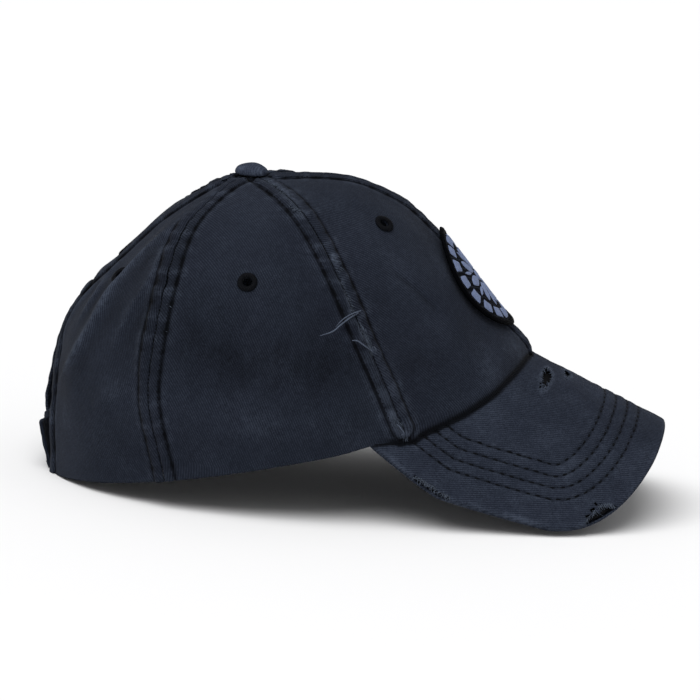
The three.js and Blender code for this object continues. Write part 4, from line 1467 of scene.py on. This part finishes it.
def eyelet_master():
    """An embroidered ring: satin stitches laid side by side round a hole."""
    deselect_all()
    bpy.ops.mesh.primitive_torus_add(
        major_segments=EYELET_WRAPS * 4, minor_segments=12, major_radius=2.95 * MM, minor_radius=1.2 * MM
    )
    ring = take_primitive("eyelet_ring")
    points = points_of(ring)
    around = np.arctan2(points[:, 1], points[:, 0])
    out = np.hypot(points[:, 0], points[:, 1])
    from_core = np.stack([out - 2.95 * MM, points[:, 2]], axis=1)
    swirl = around + 0.03 * from_core[:, 0] / MM
    swell = 1 + 0.10 * np.cos(EYELET_WRAPS * swirl) + 0.05 * waves(points, 0.002, 421)
    from_core *= swell[:, None]
    radius = 2.95 * MM + from_core[:, 0]
    lifted = np.where(from_core[:, 1] > 0, 0.62, 0.35) * from_core[:, 1]
    place_points(ring, np.stack([np.cos(around) * radius, np.sin(around) * radius, lifted], axis=1))
    return ring


class CAP_OT_eyelets(bpy.types.Operator):
    """Embroiders the six eyelets"""

    bl_idname = "cap.eyelets"
    bl_label = "Eyelets"

    def execute(self, context):
        master = eyelet_master()
        for panel in PANELS:
            tree = tree_of(NODES[f"panel_{panel}"])
            middle = np.array(box_middle(f"eyelet_{panel}"))
            near = middle + unit(middle - CROWN_CORE) * 2 * MM
            _, first = settle(tree, [near])
            side = unit(np.cross(first[0], [0, 0, 1]))
            rise = np.cross(side, first[0])
            turns = np.radians(np.arange(0, 360, 30))[:, None]
            ring = near + 4.5 * MM * (np.cos(turns) * side + np.sin(turns) * rise)
            on, normals = settle(tree, ring)
            out = unit(normals.mean(axis=0))
            centre = on.mean(axis=0) + out * 0.25 * MM
            along = unit(np.cross(out, [0.3, 0.2, 1]))
            eyelet = copies_of(master, f"eyelet_{panel}_ring", centre[None], along[None], out[None])
            finish_piece(eyelet, bpy.data.materials["Topstitch Thread"], "thread", f"eyelet_{panel}")
        bpy.data.objects.remove(master)
        return {"FINISHED"}


# The patch


class PatchFace:
    """The curved face of the patch: places across and up from its middle."""

    def __init__(self):
        points = np.array([vertex.co for vertex in NODES["patch_ground"].data.vertices])
        low, high = points.min(axis=0), points.max(axis=0)
        self.up = unit(np.array([low[0] - high[0], 0, high[2] - low[2]]))
        self.across = np.array([0.0, 1.0, 0.0])
        self.out = np.cross(self.across, self.up)
        self.centre = (low + high) / 2
        offset = points - self.centre
        wide, tall, lift = offset @ self.across, offset @ self.up, offset @ self.out
        top = lift > self.fitted(wide, tall, self.fit(wide, tall, lift))
        self.shape = self.fit(wide[top], tall[top], lift[top])
        steps = np.linspace(-0.03, 0.03, 601)
        rise = np.gradient(self.fitted(steps * 0, steps, self.shape), steps)
        arcs = np.concatenate([[0], np.cumsum(np.hypot(1, (rise[1:] + rise[:-1]) / 2) * np.diff(steps))])
        self.steps, self.arcs = steps, arcs - np.interp(0, steps, arcs)

    @staticmethod
    def terms(wide, tall):
        a, b = np.asarray(wide) / 0.02, np.asarray(tall) / 0.02
        return np.stack([a * 0 + 1, b, a * a, b * b, a * a * b, b**3, a**4, a * a * b * b, b**4], axis=-1)

    def fit(self, wide, tall, lift):
        return np.linalg.lstsq(self.terms(wide, tall), lift, rcond=None)[0]

    def fitted(self, wide, tall, shape):
        return self.terms(wide, tall) @ shape

    def place(self, wide, rise, lift):
        tall = np.interp(rise, self.arcs, self.steps)
        small = 0.2 * MM
        height = self.fitted(wide, tall, self.shape)
        lean_wide = (self.fitted(wide + small, tall, self.shape) - height) / small
        lean_tall = (self.fitted(wide, tall + small, self.shape) - height) / small
        out = unit(self.out - lean_wide[:, None] * self.across - lean_tall[:, None] * self.up)
        flat = wide[:, None] * self.across + tall[:, None] * self.up + height[:, None] * self.out
        return self.centre + flat + np.asarray(lift).reshape(-1, 1) * out


def patch_disc(face, radius):
    """The patch's cloth as a round sheet."""
    disc, column, row = grid_piece("patch_cloth", 48, 48)
    x, y = 2 * column - 1, 2 * row - 1
    wide = x * np.sqrt(1 - y * y / 2) * radius
    tall = y * np.sqrt(1 - x * x / 2) * radius
    place_points(disc, face.place(wide, tall, 0.05 * MM * waves(np.stack([wide, tall], axis=1), 0.004, 501)))
    if normals_of(disc).mean(axis=0) @ face.out < 0:
        disc.data.flip_normals()
    map_weave(disc, wide, tall)
    thicken(disc, 0.9 * MM)
    return disc


def patch_border(face, sizes):
    """The raised border: thread wrapped over the edge, turn beside turn."""
    wraps = 230
    middle = sizes.radius - sizes.border / 2
    half = sizes.border / 2
    deselect_all()
    bpy.ops.mesh.primitive_torus_add(
        major_segments=wraps * 3, minor_segments=14, major_radius=middle, minor_radius=half
    )
    ring = take_primitive("patch_border_thread")
    points = points_of(ring)
    around = np.arctan2(points[:, 1], points[:, 0])
    from_core = np.hypot(points[:, 0], points[:, 1]) - middle
    slanted = around + 0.9 * from_core / middle
    swell = 1 + 0.055 * np.cos(wraps * slanted) + 0.02 * waves(points, 0.004, 511)
    radius = middle + from_core * (1 + (swell - 1) * 0.4)
    high = np.where(points[:, 2] > 0, sizes.border_height, 0.75 * MM) * points[:, 2] / half
    lift = high * swell - 0.1 * MM
    place_points(ring, face.place(radius * np.cos(around), radius * np.sin(around), lift))
    return ring


def motif_piece(face, piece, wide, tall, lift, across, along):
    """Lays a block of satin stitch on the patch, with its thread along the block."""
    place_points(piece, face.place(wide, tall, lift))
    if normals_of(piece).mean(axis=0) @ face.out < 0:
        piece.data.flip_normals()
    map_weave(piece, along, across)
    return piece


def leaf(face, angle, start, end, half_width, height, fullness=0.75):
    """A leaf-shaped block of satin stitch that points out from the middle of the patch."""
    piece, column, row = grid_piece("motif_leaf", 14, 22)
    side = 2 * column - 1
    belly = np.sin(np.pi * np.clip(row, 0.001, 0.999)) ** fullness
    reach = start + (end - start) * row
    off = side * half_width * belly
    lift = height * (1 - side**4) * np.clip(belly * 2.2, 0, 1) - 0.12 * MM
    wide = reach * math.cos(angle) - off * math.sin(angle)
    tall = reach * math.sin(angle) + off * math.cos(angle)
    return motif_piece(face, piece, wide, tall, lift, off, reach)


def band_ring(face, inner, outer, height, first=0.0, last=2 * math.pi):
    """A ring, or a stretch of one, of satin stitch."""
    turns = max(int((last - first) * 24), 4)
    piece, column, row = grid_piece("motif_ring", turns, 8)
    side = 2 * row - 1
    angle = first + (last - first) * column
    ends = np.clip(np.minimum(column, 1 - column) * turns, 0, 1) if last - first < 6 else 1
    radius = (inner + outer) / 2 + side * (outer - inner) / 2
    lift = height * (1 - side**4) * ends - 0.12 * MM
    return motif_piece(
        face, piece, radius * np.cos(angle), radius * np.sin(angle), lift, side * (outer - inner), angle * inner
    )


class CAP_OT_patch(bpy.types.Operator):
    """Makes the round patch: its cloth, its wrapped border and a flower in satin stitch"""

    bl_idname = "cap.patch"
    bl_label = "Patch"

    def execute(self, context):
        sizes = context.scene.cap_patch
        face = PatchFace()
        disc = patch_disc(face, sizes.radius - sizes.border + 0.4 * MM)
        finish_piece(disc, bpy.data.materials["Patch Twill"], "patch", "patch_ground")
        ring = patch_border(face, sizes)
        finish_piece(ring, bpy.data.materials["Border Thread"], "thread", "patch_border")
        height = sizes.motif_height
        room = sizes.radius - sizes.border - 1.1 * MM
        turn = 2 * math.pi / sizes.petals
        pieces = [band_ring(face, 0.02 * MM, 2.6 * MM, height * 1.2)]
        for k in range(sizes.petals):
            pieces.append(leaf(face, k * turn, 3.6 * MM, 0.66 * room, 2.5 * MM, height))
            pieces.append(leaf(face, (k + 0.5) * turn, 0.40 * room, 0.70 * room, 0.9 * MM, height))
            for part in (0.06, 0.56):
                first = (k + part) * turn
                pieces.append(band_ring(face, 0.76 * room, room, height, first, first + 0.38 * turn))
        deselect_all()
        for piece in pieces:
            piece.select_set(True)
        context.view_layer.objects.active = pieces[0]
        bpy.ops.object.join()
        flower = take_primitive("patch_flower")
        finish_piece(flower, bpy.data.materials["Motif Thread"], "patch")
        return {"FINISHED"}


# Loose threads and frayed places

FRAYS = (
    # from and to in mm on the crown, fibres, their length in mm, how curly, and the way that they lie
    ((-42, -12, 128), (-28, -36, 121), 210, 2.8, 0.9, None),
    ((-13, -50, 107), (-4, -61, 86), 150, 1.7, 0.3, (0.85, -0.25, -0.30)),
    ((-1, -62, 83), (5, -65, 72), 60, 4.5, 0.25, (0.35, -0.12, -0.92)),
    ((16, -69, 46), (22, -68, 37), 60, 2.6, 0.6, (0.35, -0.1, -0.9)),
    ((-73, -35, 111), (-75, -46, 100), 26, 1.6, 0.7, None),
    ((-79, -58, 84), (-82, -63, 68), 26, 1.4, 0.6, None),
)
LOOSE_THREADS = (
    # points in mm, thickness in mm
    (((-1, -61, 86), (-4.5, -64.4, 84.2), (-8, -67.0, 81.5), (-11, -68.6, 79.0), (-16, -70.2, 77.2)), 0.80),
    (((0, -61, 87), (-3.8, -63.6, 85.8), (-7, -66.0, 83.9), (-9.8, -67.6, 80.9)), 0.55),
    (((-2.5, -66.2, 75.4), (-0.5, -67.8, 75.7), (2, -67.6, 74.2), (5.5, -65.8, 71.6)), 0.60),
    (((18, -69.4, 42.5), (19.5, -71.0, 41.5), (21.0, -70.8, 39.4), (20.0, -69.6, 38.0)), 0.45),
)


def thread_curves(name, lines, radius):
    """Thin round threads along lines, as one mesh."""
    curve = bpy.data.curves.new(name, "CURVE")
    curve.dimensions = "3D"
    curve.bevel_depth = 1.0
    curve.bevel_resolution = 0
    curve.use_fill_caps = True
    for line, thick in zip(lines, radius):
        spline = curve.splines.new("POLY")
        spline.points.add(len(line) - 1)
        taper = np.interp(np.linspace(0, 1, len(line)), [0, 0.15, 0.7, 1], [0.8, 1, 0.9, 0.35]) * thick
        spline.points.foreach_set("co", np.hstack([line, np.ones((len(line), 1))]).ravel())
        spline.points.foreach_set("radius", taper)
    threads = bpy.data.objects.new(name, curve)
    bpy.context.scene.collection.objects.link(threads)
    work_on(threads)
    bpy.ops.object.convert(target="MESH")
    return bpy.context.object


def fibre_lines(on, out, ways, lengths, curl, random):
    """Short curved fibres that start on a surface and lie close to it."""
    lines = []
    share = np.linspace(0, 1, 6)[:, None]
    for place, up, way, size in zip(on, out, ways, lengths):
        side = np.cross(up, way)
        bend = random.normal(0, curl)
        rise = random.uniform(0.1, 0.5) * MM * (1 + curl)
        wiggle = random.uniform(-1, 1) * curl * 0.25
        lines.append(
            place
            - up * 0.1 * MM
            + way * size * share
            + side * size * (0.4 * bend * share**2 + wiggle * np.sin(5 * share))
            + up * (rise * np.sin(math.pi * share * 0.9) + 0.05 * MM)
        )
    return lines


def fray_lines(tree, start, end, count, size, curl, way, random):
    share = random.uniform(0, 1, count)[:, None]
    base = np.array(start) * MM * (1 - share) + np.array(end) * MM * share
    on, out = settle(tree, base)
    along = unit(np.array(end) - np.array(start))
    side = unit(np.cross(out, along))
    on, out = settle(tree, on + side * random.normal(0, 0.8 * MM, (count, 1)))
    if way is None:
        ways = unit(random.normal(size=(count, 3)))
    else:
        ways = unit(np.array(way) + random.normal(0, 0.12, (count, 3)))
    ways = unit(ways - out * (ways * out).sum(axis=1, keepdims=True))
    lengths = size * MM * random.uniform(0.5, 1.2, count)
    return fibre_lines(on, out, ways, lengths, curl, random)


class CAP_OT_threads(bpy.types.Operator):
    """Pulls loose threads and frayed fibres out of the crown's worn seams"""

    bl_idname = "cap.threads"
    bl_label = "Crown Threads"

    def execute(self, context):
        random = np.random.default_rng(601)
        tree = tree_of(*(bpy.data.objects[f"crown_{panel}"] for panel in PANELS))
        lines = []
        for fray in FRAYS:
            lines += fray_lines(tree, *fray, random)
        radii = list(random.uniform(0.06, 0.14, len(lines)) * MM)
        fibres = thread_curves("crown_fibres", lines, radii)
        finish_piece(fibres, bpy.data.materials["Frayed Fibre"], "twill")
        paths = [rounded_line(np.array(points) * MM, 0.6 * MM) for points, _ in LOOSE_THREADS]
        loose = thread_curves("loose_threads", paths, [thick / 2 * MM for _, thick in LOOSE_THREADS])
        finish_piece(loose, bpy.data.materials["Loose Thread"], "twill")
        return {"FINISHED"}


class CAP_OT_visor_fibres(bpy.types.Operator):
    """Frays the worn holes and the torn edge of the visor"""

    bl_idname = "cap.visor_fibres"
    bl_label = "Visor Fibres"

    def execute(self, context):
        random = np.random.default_rng(611)
        shape = VisorShape()
        lines = []
        for across, forward, wide, deep, _ in VISOR_HOLES:
            turns = random.uniform(0, 2 * math.pi, 60)
            size = random.uniform(1.0, 1.2, 60)
            flat = np.stack([across + wide * size * np.cos(turns), forward + deep * size * np.sin(turns)], axis=1)
            inward = random.uniform(-0.35, 0.25, (60, 1)) * (flat - [across, forward])
            inward += random.normal(0, 0.3, (60, 2))
            lines += flat_fibres(shape, flat * MM, inward * MM, 0.15 * MM, random)
        edge = shape.outline()
        middle = line_lengths(edge)[-1] / 2
        for start, end, depth in EDGE_TEARS:
            count = int((end - start) * 9)
            place = random.uniform(start, end, count) * MM + middle
            flat = resample(edge, place)
            inward = unit(np.array([0.0, 0.02]) - flat)
            share = (place - middle) / MM
            border = depth * np.sin(np.pi * np.clip((share - start) / (end - start), 0, 1)) ** 0.7
            base = flat + inward * (border * MM)[:, None]
            way = -inward * random.uniform(0.4, 2.4, (count, 1)) * MM + random.normal(0, 0.5 * MM, (count, 2))
            lines += flat_fibres(shape, base, way, -0.25 * MM, random)
        radii = list(random.uniform(0.06, 0.16, len(lines)) * MM)
        fibres = thread_curves("visor_fibres", lines, radii)
        finish_piece(fibres, bpy.data.materials["Frayed Fibre"], "twill")
        return {"FINISHED"}


def flat_fibres(shape, starts, ways, lift, random):
    """Fibres that lie along the visor from places in its flat pattern."""
    lines = []
    share = np.linspace(0, 1, 6)
    for start, way in zip(starts, ways):
        side = np.array([-way[1], way[0]])
        bend = random.normal(0, 0.5)
        flat = start + way * share[:, None] + side * (bend * share**2)[:, None]
        rise = lift + random.uniform(0.0, 0.35) * MM * np.sin(math.pi * share)
        lines.append(shape.place(flat[:, 0], flat[:, 1], rise))
    return lines


# The stage, the panel and the run


class CAP_OT_stage(bpy.types.Operator):
    """Sets the pale floor, the soft light and the camera"""

    bl_idname = "cap.stage"
    bl_label = "Stage"

    def execute(self, context):
        scene = context.scene
        stage = scene.cap_stage
        scene.view_settings.view_transform = "Standard"
        make_floor(scene.cap_colours.floor)
        make_world(scene)
        make_lights(scene)
        make_camera(scene, stage)
        return {"FINISHED"}


def make_floor(tint):
    deselect_all()
    bpy.ops.mesh.primitive_circle_add(vertices=96, radius=6.0, fill_type="NGON", location=(0, 0, -0.0002))
    bpy.ops.object.transform_apply(location=True)
    floor = take_primitive("floor")
    material, tree, shader = new_material("Pale Floor")
    place = add_node(tree, "ShaderNodeTexCoord").outputs["Object"]
    grain = noise_node(tree, place, 3.0)
    dimmer = tuple(part * 0.985 for part in tint)
    tree.links.new(mix_colours(tree, grain, rgba(tint), rgba(dimmer)), shader.inputs["Base Color"])
    shader.inputs["Roughness"].default_value = 0.9
    shader.inputs["Specular IOR Level"].default_value = 0.1
    floor.data.materials.append(material)


def make_world(scene):
    """A white surround that lights the cap a little less than it shows."""
    world = bpy.data.worlds.new("Soft Room")
    world.use_nodes = True
    tree = world.node_tree
    seen = add_node(tree, "ShaderNodeLightPath").outputs["Is Camera Ray"]
    strength = spread(tree, seen, 0.0, 1.0, 0.42, 1.0)
    background = tree.nodes["Background"]
    background.inputs["Color"].default_value = (1.0, 1.0, 1.0, 1.0)
    tree.links.new(strength, background.inputs["Strength"])
    scene.world = world


def make_lights(scene):
    light = bpy.data.lights.new("soft_daylight", "SUN")
    light.energy = 2.35
    light.angle = math.radians(60)
    lamp = bpy.data.objects.new("soft_daylight", light)
    lamp.rotation_euler = Vector((0.25, 0.35, -1.0)).to_track_quat("-Z", "Y").to_euler()
    scene.collection.objects.link(lamp)


def make_camera(scene, stage):
    view = Vector((0, math.cos(stage.height), -math.sin(stage.height)))
    level = Vector((1, 0, 0))
    above = level.cross(view)
    right = level * math.cos(stage.tilt) + above * math.sin(stage.tilt)
    up = right.cross(view)
    camera = bpy.data.cameras.new("camera")
    camera.lens = camera.sensor_width * stage.distance / stage.field
    camera.clip_end = 50.0
    seen = bpy.data.objects.new("camera", camera)
    turned = Matrix((right, up, -view)).transposed().to_4x4()
    turned.translation = Vector(stage.aim) - view * stage.distance
    seen.matrix_world = turned
    scene.collection.objects.link(seen)
    scene.camera = seen


OPERATORS = (
    CAP_OT_materials,
    CAP_OT_crown,
    CAP_OT_tape,
    CAP_OT_seam_stitches,
    CAP_OT_visor,
    CAP_OT_visor_stitches,
    CAP_OT_straps,
    CAP_OT_sweatband,
    CAP_OT_button,
    CAP_OT_eyelets,
    CAP_OT_patch,
    CAP_OT_threads,
    CAP_OT_visor_fibres,
    CAP_OT_stage,
)
GROUPS = {
    "cap_colours": CapColours,
    "cap_sewing": CapSewing,
    "cap_visor": CapVisor,
    "cap_patch": CapPatch,
    "cap_stage": CapStage,
}


class CAP_PT_finish(bpy.types.Panel):
    """Lists the steps that finish the cap"""

    bl_idname = "CAP_PT_finish"
    bl_label = "Ponytail Cap"
    bl_space_type = "VIEW_3D"
    bl_region_type = "UI"
    bl_category = "Cap"

    def draw(self, context):
        for operator in OPERATORS:
            self.layout.operator(operator.bl_idname)
        for name, group in GROUPS.items():
            box = self.layout.box()
            for key in group.__annotations__:
                box.prop(getattr(context.scene, name), key)


CLASSES = (*GROUPS.values(), *OPERATORS, CAP_PT_finish)


def register():
    for cls in CLASSES:
        bpy.utils.register_class(cls)
    for name, group in GROUPS.items():
        setattr(bpy.types.Scene, name, PointerProperty(type=group))


def unregister():
    for name in GROUPS:
        delattr(bpy.types.Scene, name)
    for cls in reversed(CLASSES):
        bpy.utils.unregister_class(cls)


def main():
    register()
    for operator in OPERATORS:
        category, name = operator.bl_idname.split(".")
        getattr(getattr(bpy.ops, category), name)()


if __name__ == "__main__":
    main()
